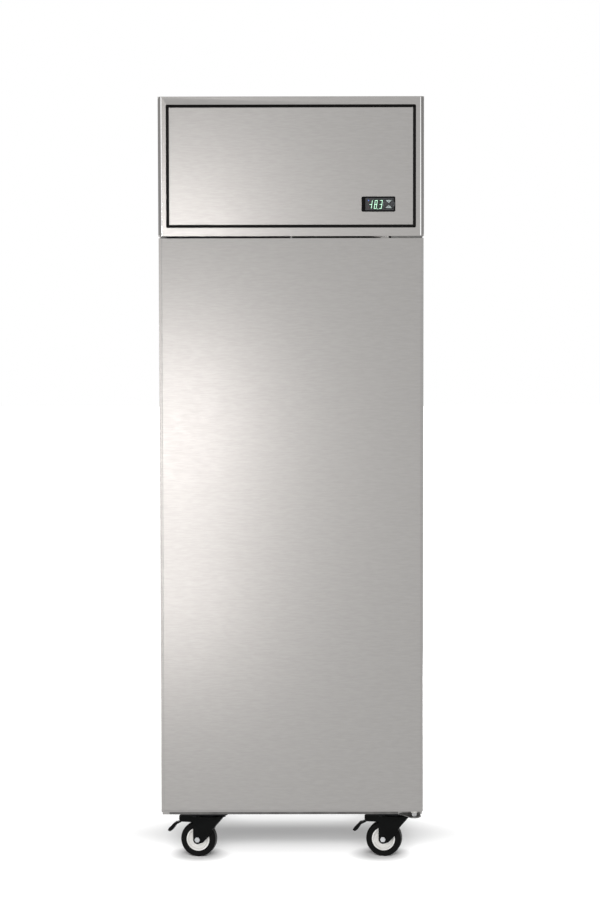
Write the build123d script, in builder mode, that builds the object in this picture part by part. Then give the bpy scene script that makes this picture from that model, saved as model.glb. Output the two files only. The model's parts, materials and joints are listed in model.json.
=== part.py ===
from build123d import *
import math
import os

# Upright one-door freezer with its machinery on top, standing on four castors.
# Sizes are in mm. +Z is up, the door faces -Y and +X is to the right of someone facing it.
# The origin is on the floor, under the middle of the cabinet.

os.makedirs("parts", exist_ok=True)

# Cabinet
cabinet_width = 730.0
cabinet_depth = 840.0
skin = 1.0
base_skin = 2.0
wall = 65.0
floor_thickness = 75.0
ceiling_thickness = 76.0
edge_fold = 20.0
apron_height = 40.0
frame_depth = 12.0
frame_border = 35.0
cover_setback = 20.0

# Door
door_height = 1593.0
door_thickness = 62.0
door_side_inset = 1.0
door_lift = 21.0
door_head = 85.0
bevel_width = 8.5
door_bevel_depth = 1.5
door_corner_cut = 2.0
sill_height = 6.5
sill_depth = 4.5
gasket_gap = 12.0
gasket_width = 20.0
gasket_inset = 8.0
plug_inset = 6.0
plug_height = 8.0
grip_length = 400.0
grip_height = 950.0
grip_depth = 30.0
grip_width = 30.0
grip_wall = 2.0
grip_lip = 10.0

# Door hinges
hinge_inset = 24.0
hinge_setback = 30.0
hinge_plate = 3.0
hinge_pin_radius = 5.0
hinge_pin_reach = 22.0
hinge_eye_radius = 16.0
lower_hinge_arm = 62.0
upper_hinge_arm = 85.0
hinge_tab_height = 38.0
hinge_plate_setback = 2.0
bush_radius = 9.0
bush_length = 25.0
bush_drop = 8.0
collar_radius = 7.0

# Fascia, service panel and controller
fascia_height = 381.5
fascia_gap = 5.5
fascia_sheet = 1.2
fascia_bevel_depth = 4.5
fascia_corner_cut = 5.0
fascia_border_side = 22.0
fascia_border_top = 22.0
fascia_border_bottom = 23.0
seal_width = 8.0
seal_depth = 6.0
seal_setback = 7.0
seal_corner_radius = 4.0
panel_depth = 14.0
panel_edge_radius = 1.2
panel_pin_radius = 1.5
ear_thickness = 3.0
ear_radius = 3.4
ear_setback = 3.0
bezel_proud = 3.0
bezel_width = 92.5
bezel_height = 41.5
bezel_corner_radius = 3.5
bezel_rim = 2.5
controller_depth = 55.0
controller_from_right = 79.0
controller_from_top = 273.5
window_thickness = 1.5
window_rim = 4.0
window_left_rim = 10.5
key_size = 24.0
key_from_right = 18.0
key_proud = 0.7
key_travel = 0.6
centre_tab_width = 3.5
side_tab_width = 21.5
side_tab_from_centre = 257.3

# Castors
wheel_diameter = 100.0
wheel_width = 32.0
wheel_gap = 3.0
hub_radius = 33.0
crown_height = 14.5
race_height = 6.0
race_radius = 28.0
crown_radius = 35.0
castor_plate = 3.5
castor_plate_length = 104.0
castor_plate_width = 80.0
castor_hole_pitch_x = 80.0
castor_hole_pitch_y = 60.0
castor_bolt_radius = 4.0
castor_bolt_head = 6.5
castor_bolt_head_height = 5.0
castor_bolt_length = 14.0
castor_trail = 30.0
castor_turn = 10.8
castor_left = 131.0
castor_right = 75.0
castor_edge_gap = 1.0
leg_thickness = 5.0
leg_gap = 3.0
eye_radius = 12.5
eye_slope = 16.0
eye_drop = 7.5
throat = ((33.0, 10.5), (43.5, 31.0))
crown_left = -52.5
crown_right = 73.0
crown_edge = 2.0
crown_lip = 6.0
kingpin_radius = 6.0
kingpin_head_radius = 11.0
kingpin_head = 4.0
kingpin_head_room = 1.0
hub_rim = 4.0
hub_boss_radius = 13.0
hub_dish = 6.0
hub_taper = 25.0
tyre_shoulder = 6.0
pedal_pivot_back = 40.0
pedal_pivot_lift = 2.0
pedal_pin_radius = 2.5
pedal_boss_radius = 5.5
pedal_room = 2.0
pedal_arm = 3.2
pedal_arm_drop = 10.0
pedal_width = 26.0
pedal_reach = -88.5
pedal_tip_z = 68.5
pedal_toe = 6.0
pedal_back_drop = 16.0
pedal_belly_drop = 24.0
axle_radius = 4.0
axle_head_radius = 8.0
axle_head = 3.0

# Shelves and their supports
shelf_side_gap = 35.0
shelf_front_gap = 38.0
shelf_count = 3
shelf_pitch = 320.0
first_shelf = 268.0
shelf_back_gap = 10.0
rim_wire = 3.0
grid_wire = 1.5
grid_wires = 23
pilaster_width = 25.0
pilaster_depth = 10.0
pilaster_foot = 8.0
pilaster_height = 1290.0
pilaster_from_ends = 95.0
slot_pitch = 50.0
slot_width = 6.0
slot_height = 16.0
runner_sheet = 1.5
runner_height = 34.0
runner_ledge = 36.0

# Cooling machinery
cover_width_gap = 15.0
cover_depth = 300.0
cover_height = 140.0
evaporator_width = 440.0
evaporator_depth = 130.0
evaporator_height = 110.0
evaporator_fan_radius = 52.0
condenser_width = 300.0
condenser_depth = 60.0
condenser_height = 220.0
condenser_fan_radius = 92.0
condenser_from_left = 285.0
condenser_from_front = 70.0
fin_thickness = 1.5
fin_pitch = 9.0
tube_thickness = 8.0
tube_pitch = 27.0
fan_gap = 4.0
fan_hub_radius = 17.0
fan_depth = 26.0
fan_blades = 5
blade_angle = 32.0
motor_radius = 34.0
motor_length = 60.0
strap_width = 18.0
strap_thickness = 2.0
compressor_radius = 85.0
compressor_height = 195.0
compressor_from_back = 300.0
compressor_rounding = 30.0
compressor_foot_margin = 10.0
compressor_foot_depth = 160.0
compressor_neck_radius = 51.0
seam_proud = 3.0
suction_height = 129.0
stub_radius = 6.0
line_radius = 4.0
box_width = 140.0
box_depth = 230.0
box_height = 120.0
foot_sheet = 4.0
foot_height = 12.0
seam_height = 10.0
stub_length = 12.0
line_spread = 30.0
line_offset = 36.0
line_bend = 14.0
box_side_gap = 24.0
box_rounding = 6.0
louvre_length = 150.0
louvre_height = 6.0
louvre_pitch = 16.0
louvre_gap = 40.0
louvre_columns = 3
louvre_rows = 12
gland_radius = 12.0
gland_nut = 9.0
gland_nut_radius = 16.0
gland_neck_radius = 11.0
gland_taper = 15.0
gland_from_side = 110.0
gland_height = 60.0
shroud_depth = 40.0
air_slot = 30.0
guard_pitch = 9.0
guard_bar = 3.0
blade_root = 24.0
blade_tip = 60.0
blade_thickness = 2.0
shaft_radius = 4.0

# Clearances
run = 0.05
soft = 0.3

# Heights, from the floor up
wheel_radius = wheel_diameter / 2
crown_z = wheel_diameter + wheel_gap
race_z = crown_z + crown_height
castor_plate_z = race_z + race_height
underside_z = castor_plate_z + castor_plate
door_bottom_z = underside_z + door_lift
door_top_z = door_bottom_z + door_height
fascia_z = door_top_z + fascia_gap
top_z = fascia_z + fascia_height
cavity_floor_z = underside_z + floor_thickness
cavity_ceiling_z = door_top_z - door_head
deck_z = cavity_ceiling_z + ceiling_thickness

# Planes across the cabinet
half_width = cabinet_width / 2
back_y = cabinet_depth / 2
front_y = -cabinet_depth / 2 + bezel_proud
carcass_y = front_y + door_thickness + gasket_gap
cavity_half = half_width - wall
cavity_back_y = back_y - wall
inside_half = half_width - skin
foam_front_y = carcass_y + frame_depth
frame_half = cavity_half + frame_border
frame_bottom_z = cavity_floor_z - frame_border
frame_top_z = cavity_ceiling_z + frame_border
hinge_x = half_width - hinge_inset
hinge_y = front_y + hinge_setback
condenser_x = -half_width + condenser_from_left


def facing_front(y, x=0.0, z=0.0):
    # A plane across the cabinet: sketches use X and Z from that point, and extrusions come forwards.
    return Plane(origin=(x, y, z), x_dir=(1, 0, 0), z_dir=(0, -1, 0))


def facing_right(x):
    # A plane along the cabinet: sketches use Y and Z, and extrusions go to +X.
    return Plane.YZ.offset(x)


def block(low, high, mode=Mode.ADD):
    # A box from its low corner to its high corner.
    with Locations(Vector(low)):
        Box(*(Vector(high) - Vector(low)), align=(Align.MIN, Align.MIN, Align.MIN), mode=mode)


def inner_leg(leg, other_leg, inset):
    # A bevel's leg when its faces and both its neighbours move in by inset.
    return leg - inset * (1 - math.tan(math.atan2(other_leg, leg) / 2))


def pan(half, low_z, high_z, back_y, bevel_depth, corner_cut, sill, inset):
    # A solid with a bevel up each side of its front, cut corners there and a sill bevel along
    # its foot, moved in by inset on all faces but its back.
    bevel = inner_leg(bevel_width, bevel_depth, inset)
    edge = half - inset
    cut = corner_cut - (2 - math.sqrt(2)) * inset
    face_y = front_y + inset
    slope_y = face_y + inner_leg(bevel_depth, bevel_width, inset)
    with BuildPart() as body:
        with BuildSketch(Plane.XY.offset(low_z + inset)):
            with BuildLine():
                Polyline(
                    (bevel - edge, face_y),
                    (edge - bevel, face_y),
                    (edge, slope_y),
                    (edge, back_y),
                    (-edge, back_y),
                    (-edge, slope_y),
                    close=True,
                )
            make_face()
        extrude(amount=high_z - low_z - 2 * inset)
        with BuildSketch(facing_front(face_y + bevel_depth)):
            for side in (-1, 1):
                for end_z, inwards in ((low_z + inset, 1), (high_z - inset, -1)):
                    with BuildLine():
                        Polyline(
                            (side * edge, end_z),
                            (side * (edge - cut), end_z),
                            (side * edge, end_z + inwards * cut),
                            close=True,
                        )
                    make_face()
        extrude(amount=bevel_depth, mode=Mode.SUBTRACT)
        if sill:
            rise, back = sill
            with BuildSketch(facing_right(-edge)):
                with BuildLine():
                    Polyline(
                        (face_y, low_z + inset),
                        (face_y, low_z + inset + inner_leg(rise, back, inset)),
                        (face_y + inner_leg(back, rise, inset), low_z + inset),
                        close=True,
                    )
                make_face()
            extrude(amount=2 * edge, mode=Mode.SUBTRACT)
    return body.part


# Where each castor swivels: (x, y, has a brake)
castor_front_y = carcass_y + castor_edge_gap + castor_plate_width / 2
castor_rear_y = back_y - castor_edge_gap - castor_plate_width / 2
castor_places = {
    "front_left": (-half_width + castor_left, castor_front_y, True),
    "front_right": (half_width - castor_right, castor_front_y, True),
    "rear_left": (-half_width + castor_left, castor_rear_y, False),
    "rear_right": (half_width - castor_right, castor_rear_y, False),
}
castor_centres = [(x, y) for x, y, braked in castor_places.values()]

# Outer skins: each side is one sheet with its front edge folded in
for side, name in ((-1, "left_side_panel"), (1, "right_side_panel")):
    with BuildPart() as side_panel:
        with BuildSketch(Plane.XY.offset(underside_z)) as outline:
            with BuildLine():
                Polyline(
                    (side * half_width, back_y),
                    (side * half_width, carcass_y),
                    (side * (half_width - edge_fold), carcass_y),
                    (side * (half_width - edge_fold), carcass_y + skin),
                    (side * inside_half, carcass_y + skin),
                    (side * inside_half, back_y),
                    close=True,
                )
            make_face()
            outer_corner = outline.vertices().sort_by_distance((side * half_width, carcass_y, 0))[0]
            fillet(outer_corner, radius=2 * skin)
        extrude(amount=top_z - underside_z)
    side_panel.part.label = name
    export_step(side_panel.part, f"parts/{name}.step")

with BuildPart() as base_pan:
    block((-inside_half, carcass_y + skin, underside_z), (inside_half, back_y - skin, underside_z + base_skin))
    apron_half = half_width - edge_fold
    block((-apron_half, carcass_y, underside_z), (apron_half, carcass_y + skin, frame_bottom_z))
    with BuildSketch(Plane.XY.offset(underside_z)):
        with Locations(*castor_centres):
            with GridLocations(castor_hole_pitch_x, castor_hole_pitch_y, 2, 2):
                Circle(castor_bolt_radius + run)
    extrude(amount=base_skin, mode=Mode.SUBTRACT)
base_pan.part.label = "base_pan"
export_step(base_pan.part, "parts/base_pan.step")

with BuildPart() as rear_panel:
    block((-inside_half, back_y - skin, underside_z), (inside_half, back_y, deck_z))
rear_panel.part.label = "rear_panel"
export_step(rear_panel.part, "parts/rear_panel.step")

# Refrigerant lines pass down through the deck and the ceiling here, to the evaporator's top
evaporator_back_y = cavity_back_y - air_slot
line_x = condenser_x - line_spread
suction_y = evaporator_back_y - evaporator_depth / 3
liquid_y = suction_y - evaporator_depth / 3

with BuildPart() as machine_deck:
    block((-inside_half, carcass_y + skin, deck_z - skin), (inside_half, back_y - skin, deck_z))
    block((-apron_half, carcass_y, frame_top_z), (apron_half, carcass_y + skin, deck_z))
    with BuildSketch(Plane.XY.offset(deck_z)):
        with Locations((line_x, suction_y), (line_x, liquid_y)):
            Circle(line_radius + run)
    extrude(amount=-skin, mode=Mode.SUBTRACT)
machine_deck.part.label = "machine_deck"
export_step(machine_deck.part, "parts/machine_deck.step")

# Foam between the skins and the liner
foam_low = (-inside_half, foam_front_y, underside_z + base_skin)
foam_high = (inside_half, back_y - skin, deck_z - skin)
liner_low = (-cavity_half - skin, foam_front_y, cavity_floor_z - skin)
liner_high = (cavity_half + skin, cavity_back_y + skin, cavity_ceiling_z + skin)

with BuildPart() as cabinet_insulation:
    block(foam_low, foam_high)
    block(liner_low, liner_high, mode=Mode.SUBTRACT)
    with BuildSketch(Plane.XY.offset(deck_z)):
        with Locations((line_x, suction_y), (line_x, liquid_y)):
            Circle(line_radius + run)
    extrude(amount=cavity_ceiling_z - deck_z, mode=Mode.SUBTRACT)
    with BuildSketch(Plane.XY.offset(underside_z)):
        with Locations(*castor_centres):
            with GridLocations(castor_hole_pitch_x, castor_hole_pitch_y, 2, 2):
                Circle(castor_bolt_radius + run)
    extrude(amount=castor_bolt_length, mode=Mode.SUBTRACT)
cabinet_insulation.part.label = "cabinet_insulation"
export_step(cabinet_insulation.part, "parts/cabinet_insulation.step")

with BuildPart() as inner_liner:
    block(liner_low, liner_high)
    block(
        (-cavity_half, foam_front_y, cavity_floor_z),
        (cavity_half, cavity_back_y, cavity_ceiling_z),
        mode=Mode.SUBTRACT,
    )
    with BuildSketch(Plane.XY.offset(cavity_ceiling_z)):
        with Locations((line_x, suction_y), (line_x, liquid_y)):
            Circle(line_radius + run)
    extrude(amount=skin, mode=Mode.SUBTRACT)
    upright_edges = inner_liner.edges().filter_by(Axis.Z).group_by(Axis.Y)[-2]
    fillet(upright_edges, radius=8 * skin)
inner_liner.part.label = "inner_liner"
export_step(inner_liner.part, "parts/inner_liner.step")

# Breaker frame: the plastic border that the door's gasket closes on
cavity_middle_z = (cavity_floor_z + cavity_ceiling_z) / 2
cavity_height = cavity_ceiling_z - cavity_floor_z
with BuildPart() as face_frame:
    with BuildSketch(facing_front(foam_front_y)):
        with Locations((0, cavity_middle_z)):
            Rectangle(2 * frame_half, cavity_height + 2 * frame_border)
            Rectangle(2 * cavity_half, cavity_height, mode=Mode.SUBTRACT)
    extrude(amount=frame_depth)
    mouth = face_frame.faces().sort_by(Axis.Y)[0].inner_wires()[0].edges()
    chamfer(mouth, length=frame_depth / 4)
face_frame.part.label = "face_frame"
export_step(face_frame.part, "parts/face_frame.step")

# Door: a bevelled steel pan, foam, and an inner liner with a raised plug
door_half = half_width - door_side_inset
door_back_y = front_y + door_thickness
grip_bottom_z = grip_height
grip_top_z = grip_height + grip_length
grip_front_y = front_y + grip_lip
grip_low = (-door_half, grip_front_y, grip_bottom_z)
grip_high = (-door_half + grip_depth, grip_front_y + grip_width, grip_top_z)
bush_bottom_z = door_bottom_z - bush_drop
door_sill = (sill_height, sill_depth)
door_pan = (door_half, door_bottom_z, door_top_z, door_back_y, door_bevel_depth, door_corner_cut, door_sill)
with BuildPart() as door_skin:
    add(pan(*door_pan, 0))
    add(pan(*door_pan, skin), mode=Mode.SUBTRACT)
    block(grip_low, grip_high, mode=Mode.SUBTRACT)
    with Locations((hinge_x, hinge_y, door_bottom_z + door_height / 2)):
        Cylinder(bush_radius, door_height, mode=Mode.SUBTRACT)
door_skin.part.label = "door_skin"
export_step(door_skin.part, "parts/door_skin.step")

plug_half = cavity_half - plug_inset
plug_bottom_z = cavity_floor_z + plug_inset
plug_top_z = cavity_ceiling_z - plug_inset
door_inside_half = door_half - skin
with BuildPart() as door_liner:
    block(
        (-door_inside_half, door_back_y - skin, door_bottom_z + skin),
        (door_inside_half, door_back_y, door_top_z - skin),
    )
    block((-plug_half, door_back_y, plug_bottom_z), (plug_half, door_back_y + plug_height, plug_top_z))
    plug_edges = door_liner.faces().sort_by(Axis.Y)[-1].edges()
    chamfer(plug_edges, length=plug_height / 2)
    block(
        (-plug_half + plug_height, door_back_y - skin, plug_bottom_z + plug_height),
        (plug_half - plug_height, door_back_y + plug_height - skin, plug_top_z - plug_height),
        mode=Mode.SUBTRACT,
    )
door_liner.part.label = "door_liner"
export_step(door_liner.part, "parts/door_liner.step")

with BuildPart() as door_insulation:
    add(pan(*door_pan, skin))
    block(
        (-door_half, door_back_y - skin, door_bottom_z),
        (door_half, door_back_y, door_top_z),
        mode=Mode.SUBTRACT,
    )
    block(
        (-plug_half + plug_height, door_back_y - skin, plug_bottom_z + plug_height),
        (plug_half - plug_height, door_back_y + plug_height - skin, plug_top_z - plug_height),
    )
    block(grip_low, grip_high, mode=Mode.SUBTRACT)
    with Locations((hinge_x, hinge_y, door_bottom_z), (hinge_x, hinge_y, door_top_z)):
        Cylinder(bush_radius, 2 * bush_length, mode=Mode.SUBTRACT)
door_insulation.part.label = "door_insulation"
export_step(door_insulation.part, "parts/door_insulation.step")

with BuildPart() as door_gasket:
    with BuildSketch(facing_front(carcass_y - soft)):
        with Locations((0, cavity_middle_z)):
            reach = gasket_inset + gasket_width
            RectangleRounded(2 * (cavity_half + reach), cavity_height + 2 * reach, gasket_inset)
            Rectangle(2 * (cavity_half + gasket_inset), cavity_height + 2 * gasket_inset, mode=Mode.SUBTRACT)
    extrude(amount=gasket_gap - soft)
door_gasket.part.label = "door_gasket"
export_step(door_gasket.part, "parts/door_gasket.step")

with BuildPart() as grip_insert:
    block(grip_low, grip_high)
    block(
        (-door_half, grip_front_y + grip_wall, grip_bottom_z + grip_wall),
        (-door_half + grip_depth - grip_wall, grip_front_y + grip_width - grip_wall, grip_top_z - grip_wall),
        mode=Mode.SUBTRACT,
    )
    lip_edges = grip_insert.faces().sort_by(Axis.X)[0].inner_wires()[0].edges()
    fillet(lip_edges, radius=grip_wall / 2)
grip_insert.part.label = "grip_insert"
export_step(grip_insert.part, "parts/grip_insert.step")

with BuildPart() as hinge_bushes:
    for low_z, high_z in ((bush_bottom_z, door_bottom_z + bush_length), (door_top_z - bush_length, door_top_z)):
        with BuildSketch(Plane.XY.offset(low_z)):
            with Locations((hinge_x, hinge_y)):
                Circle(bush_radius)
                Circle(hinge_pin_radius + run, mode=Mode.SUBTRACT)
        extrude(amount=high_z - low_z)
hinge_bushes.part.label = "hinge_bushes"
export_step(hinge_bushes.part, "parts/hinge_bushes.step")


# Hinge brackets: a plate that carries the pin, with a tab against the cabinet's front
lower_plate_z = underside_z
upper_plate_z = door_top_z + (fascia_gap - hinge_plate) / 2
arm_right = half_width - edge_fold / 4
upper_tab_z = upper_plate_z + hinge_plate - hinge_tab_height
brackets = (
    (lower_plate_z, lower_hinge_arm, lower_plate_z, hinge_x - hinge_eye_radius, hinge_y),
    (upper_plate_z, upper_hinge_arm, upper_tab_z, arm_right - upper_hinge_arm, front_y + hinge_plate_setback),
)
with BuildPart() as hinge_brackets:
    for plate_z, arm, tab_z, toe_x, toe_y in brackets:
        with BuildSketch(Plane.XY.offset(plate_z)):
            with BuildLine():
                Polyline(
                    (toe_x, toe_y),
                    (arm_right - arm, carcass_y),
                    (arm_right, carcass_y),
                    (arm_right, toe_y),
                    close=True,
                )
            make_face()
            with Locations((hinge_x, hinge_y)):
                Circle(hinge_eye_radius)
                Circle(hinge_pin_radius, mode=Mode.SUBTRACT)
        extrude(amount=hinge_plate)
        block((arm_right - arm, carcass_y - hinge_plate, tab_z), (arm_right, carcass_y, tab_z + hinge_tab_height))
hinge_brackets.part.label = "hinge_brackets"
export_step(hinge_brackets.part, "parts/hinge_brackets.step")

# Fascia: the shell round the machine compartment, with a window for the service panel
opening_half = half_width - fascia_border_side
opening_bottom_z = fascia_z + fascia_border_bottom
opening_top_z = top_z - fascia_border_top
opening_middle_z = (opening_bottom_z + opening_top_z) / 2
opening_height = opening_top_z - opening_bottom_z
panel_half = opening_half - seal_width
panel_bottom_z = opening_bottom_z + seal_width
panel_top_z = opening_top_z - seal_width
pivot_y = front_y + ear_setback
pivot_z = panel_top_z + seal_width / 2
flange_depth = seal_setback + seal_depth
fascia_pan = (half_width, fascia_z, top_z, carcass_y, fascia_bevel_depth, fascia_corner_cut, None)
with BuildPart() as fascia_frame:
    add(pan(*fascia_pan, 0))
    add(pan(*fascia_pan, fascia_sheet), mode=Mode.SUBTRACT)
    with BuildSketch(facing_front(front_y + flange_depth)):
        with Locations((0, opening_middle_z)):
            flange_reach = 2 * fascia_sheet
            RectangleRounded(2 * opening_half + flange_reach, opening_height + flange_reach,
                             seal_corner_radius + fascia_sheet)
    extrude(amount=flange_depth)
    with BuildSketch(facing_front(front_y + flange_depth)):
        with Locations((0, opening_middle_z)):
            RectangleRounded(2 * opening_half, opening_height, seal_corner_radius)
    extrude(amount=flange_depth, mode=Mode.SUBTRACT)
    with Locations((0, pivot_y, pivot_z)):
        Cylinder(panel_pin_radius, 2 * (opening_half + fascia_sheet), rotation=(0, 90, 0), mode=Mode.SUBTRACT)
    for tab_x, tab_width in ((0, centre_tab_width), (side_tab_from_centre, side_tab_width)):
        block(
            (tab_x - tab_width / 2, front_y + fascia_sheet, door_top_z + soft),
            (tab_x + tab_width / 2, front_y + fascia_bevel_depth, fascia_z),
        )
fascia_frame.part.label = "fascia_frame"
export_step(fascia_frame.part, "parts/fascia_frame.step")

# Rubber seal in the groove between fascia and service panel
ear_outer = panel_half - ear_thickness / 3
ear_inner = ear_outer - ear_thickness
with BuildPart() as panel_seal:
    with BuildSketch(facing_front(front_y + flange_depth)):
        with Locations((0, opening_middle_z)):
            RectangleRounded(2 * opening_half, opening_height, seal_corner_radius)
            Rectangle(2 * (panel_half + soft), opening_height - 2 * seal_width + 2 * soft, mode=Mode.SUBTRACT)
    extrude(amount=seal_depth)
    for side in (-1, 1):
        inner_x = side * (panel_half + soft)
        outer_x = side * opening_half
        block(
            (min(inner_x, outer_x), front_y + skin, opening_bottom_z + seal_corner_radius),
            (max(inner_x, outer_x), front_y + seal_setback, panel_top_z),
        )
    block(
        (-panel_half, front_y + skin, opening_bottom_z),
        (panel_half, front_y + seal_setback, panel_bottom_z - 3 * soft),
    )
    with Locations((0, pivot_y, pivot_z)):
        Cylinder(panel_pin_radius + soft, 2 * opening_half, rotation=(0, 90, 0), mode=Mode.SUBTRACT)
panel_seal.part.label = "panel_seal"
export_step(panel_seal.part, "parts/panel_seal.step")

# Service panel, hung from two ears near its top corners
controller_x = half_width - controller_from_right - bezel_width / 2
controller_z = top_z - controller_from_top - bezel_height / 2
case_width = bezel_width - 2 * bezel_rim
case_height = bezel_height - 2 * bezel_rim
panel_middle_z = (panel_bottom_z + panel_top_z) / 2
panel_height = panel_top_z - panel_bottom_z
with BuildPart() as service_panel:
    block((-panel_half, front_y, panel_bottom_z), (panel_half, front_y + panel_depth, panel_top_z))
    front_edges = service_panel.faces().sort_by(Axis.Y)[0].edges()
    fillet(front_edges, radius=panel_edge_radius)
    block(
        (-panel_half + fascia_sheet, front_y + fascia_sheet, panel_bottom_z + fascia_sheet),
        (panel_half - fascia_sheet, front_y + panel_depth, panel_top_z - fascia_sheet),
        mode=Mode.SUBTRACT,
    )
    for side in (-1, 1):
        with BuildSketch(facing_right(side * (ear_inner + ear_outer) / 2)):
            with Locations((pivot_y, pivot_z)):
                Circle(ear_radius)
            with Locations((pivot_y, (pivot_z + panel_top_z - fascia_sheet) / 2)):
                Rectangle(ear_radius, pivot_z - panel_top_z + fascia_sheet)
        extrude(amount=ear_thickness / 2, both=True)
    with Locations((0, pivot_y, pivot_z)):
        Cylinder(panel_pin_radius + run, 2 * panel_half, rotation=(0, 90, 0), mode=Mode.SUBTRACT)
    with BuildSketch(facing_front(front_y)):
        with Locations((controller_x, controller_z)):
            Rectangle(case_width, case_height)
    extrude(amount=-fascia_sheet, mode=Mode.SUBTRACT)
service_panel.part.label = "service_panel"
export_step(service_panel.part, "parts/service_panel.step")

# Controller: a case behind the panel with a bezel in front, a dark window and two keys
window_width = bezel_width - window_rim - window_left_rim
window_x = controller_x + (window_left_rim - window_rim) / 2
window_height = bezel_height - 2 * window_rim
bezel_y = front_y - bezel_proud
window_back_y = bezel_y + window_thickness
key_x = controller_x + bezel_width / 2 - key_from_right
key_room = key_size + 2 * soft
key_back_y = window_back_y + key_travel + soft


def key_outline(size, up):
    # One quarter of a square cut corner to corner: the upper or the lower one.
    sign = 1 if up else -1
    return [(0, sign * soft), (size / 2, sign * size / 2), (-size / 2, sign * size / 2)]


with BuildPart() as controller_case:
    with BuildSketch(facing_front(front_y)):
        with Locations((controller_x, controller_z)):
            RectangleRounded(bezel_width, bezel_height, bezel_corner_radius)
    extrude(amount=bezel_proud)
    block(
        (controller_x - case_width / 2, front_y, controller_z - case_height / 2),
        (controller_x + case_width / 2, front_y + controller_depth, controller_z + case_height / 2),
    )
    with BuildSketch(facing_front(bezel_y)):
        with Locations((window_x, controller_z)):
            Rectangle(window_width, window_height)
    extrude(amount=-window_thickness, mode=Mode.SUBTRACT)
    with BuildSketch(facing_front(window_back_y)):
        with Locations((key_x, controller_z)):
            Rectangle(key_room, key_room)
    extrude(amount=window_back_y - key_back_y - key_travel, mode=Mode.SUBTRACT)
controller_case.part.label = "controller_case"
export_step(controller_case.part, "parts/controller_case.step")

with BuildPart() as controller_window:
    with BuildSketch(facing_front(window_back_y, window_x, controller_z)):
        Rectangle(window_width, window_height)
    extrude(amount=window_thickness)
    for up in (True, False):
        with BuildSketch(facing_front(window_back_y, key_x, controller_z)):
            with BuildLine():
                Polyline(*key_outline(key_room, up), close=True)
            make_face()
        extrude(amount=window_thickness, mode=Mode.SUBTRACT)
controller_window.part.label = "controller_window"
export_step(controller_window.part, "parts/controller_window.step")

for up, name in ((True, "upper_key"), (False, "lower_key")):
    with BuildPart() as key:
        with BuildSketch(facing_front(key_back_y, key_x, controller_z)):
            with BuildLine():
                Polyline(*key_outline(key_room, up), close=True)
            make_face()
            offset(amount=-soft, kind=Kind.INTERSECTION, mode=Mode.REPLACE)
        extrude(amount=key_back_y - bezel_y + key_proud)
        pressed_face = key.faces().sort_by(Axis.Y)[0]
        chamfer(pressed_face.edges(), length=key_proud / 2)
    key.part.label = name
    export_step(key.part, f"parts/{name}.step")

# Pins: two for the door, the lower one with a collar under the bush, and two for the service panel
pin_top_z = upper_plate_z + hinge_plate
with BuildPart() as hinge_pins:
    with BuildSketch(Plane.XY.offset(lower_plate_z)):
        with Locations((hinge_x, hinge_y)):
            Circle(hinge_pin_radius)
    extrude(amount=door_bottom_z + hinge_pin_reach - lower_plate_z)
    with BuildSketch(Plane.XY.offset(lower_plate_z + hinge_plate)):
        with Locations((hinge_x, hinge_y)):
            Circle(collar_radius)
    extrude(amount=bush_bottom_z - soft - lower_plate_z - hinge_plate)
    with BuildSketch(Plane.XY.offset(pin_top_z)):
        with Locations((hinge_x, hinge_y)):
            Circle(hinge_pin_radius)
    extrude(amount=door_top_z - hinge_pin_reach - pin_top_z)
    for side in (-1, 1):
        pin_inner = ear_inner - ear_thickness / 3
        with BuildSketch(facing_right(side * (opening_half + fascia_sheet))):
            with Locations((pivot_y, pivot_z)):
                Circle(panel_pin_radius)
        extrude(amount=-side * (opening_half + fascia_sheet - pin_inner))
hinge_pins.part.label = "hinge_pins"
export_step(hinge_pins.part, "parts/hinge_pins.step")


# Castors. Each turns about its kingpin, and its wheel trails behind it along the castor's own X.
turn = math.radians(castor_turn)
along = (math.cos(turn), -math.sin(turn), 0)
outward = (-math.sin(turn), -math.cos(turn), 0)
leg_inner = wheel_width / 2 + leg_gap
leg_outer = leg_inner + leg_thickness


def castor_side(x, y, shift=0.0):
    # The castor's middle plane, its origin on the axle's line at floor level, moved out by shift.
    axle_x = x - along[0] * castor_trail + outward[0] * shift
    axle_y = y - along[1] * castor_trail + outward[1] * shift
    return Plane(origin=(axle_x, axle_y, 0), x_dir=along, z_dir=outward)


def castor_top(x, y, z):
    # A level plane centred on the kingpin and turned with the castor.
    return Plane(origin=(x, y, z), x_dir=along, z_dir=(0, 0, 1))


with BuildPart() as castor_plates:
    for x, y in castor_centres:
        with BuildSketch(Plane.XY.offset(castor_plate_z)):
            with Locations((x, y)):
                RectangleRounded(castor_plate_length, castor_plate_width, 3 * castor_plate)
            with Locations((x, y)):
                with GridLocations(castor_hole_pitch_x, castor_hole_pitch_y, 2, 2):
                    Circle(castor_bolt_radius + run, mode=Mode.SUBTRACT)
        extrude(amount=castor_plate)
        with BuildSketch(Plane.XY.offset(race_z + soft)):
            with Locations((x, y)):
                Circle(race_radius)
        extrude(amount=race_height - soft)
        with BuildSketch(Plane.XY.offset(crown_z + kingpin_head)):
            with Locations((x, y)):
                Circle(kingpin_radius)
        extrude(amount=crown_height - kingpin_head + race_height)
        with BuildSketch(Plane.XY.offset(crown_z)):
            with Locations((x, y)):
                Circle(kingpin_head_radius)
        extrude(amount=kingpin_head)
castor_plates.part.label = "castor_plates"
export_step(castor_plates.part, "parts/castor_plates.step")

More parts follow.
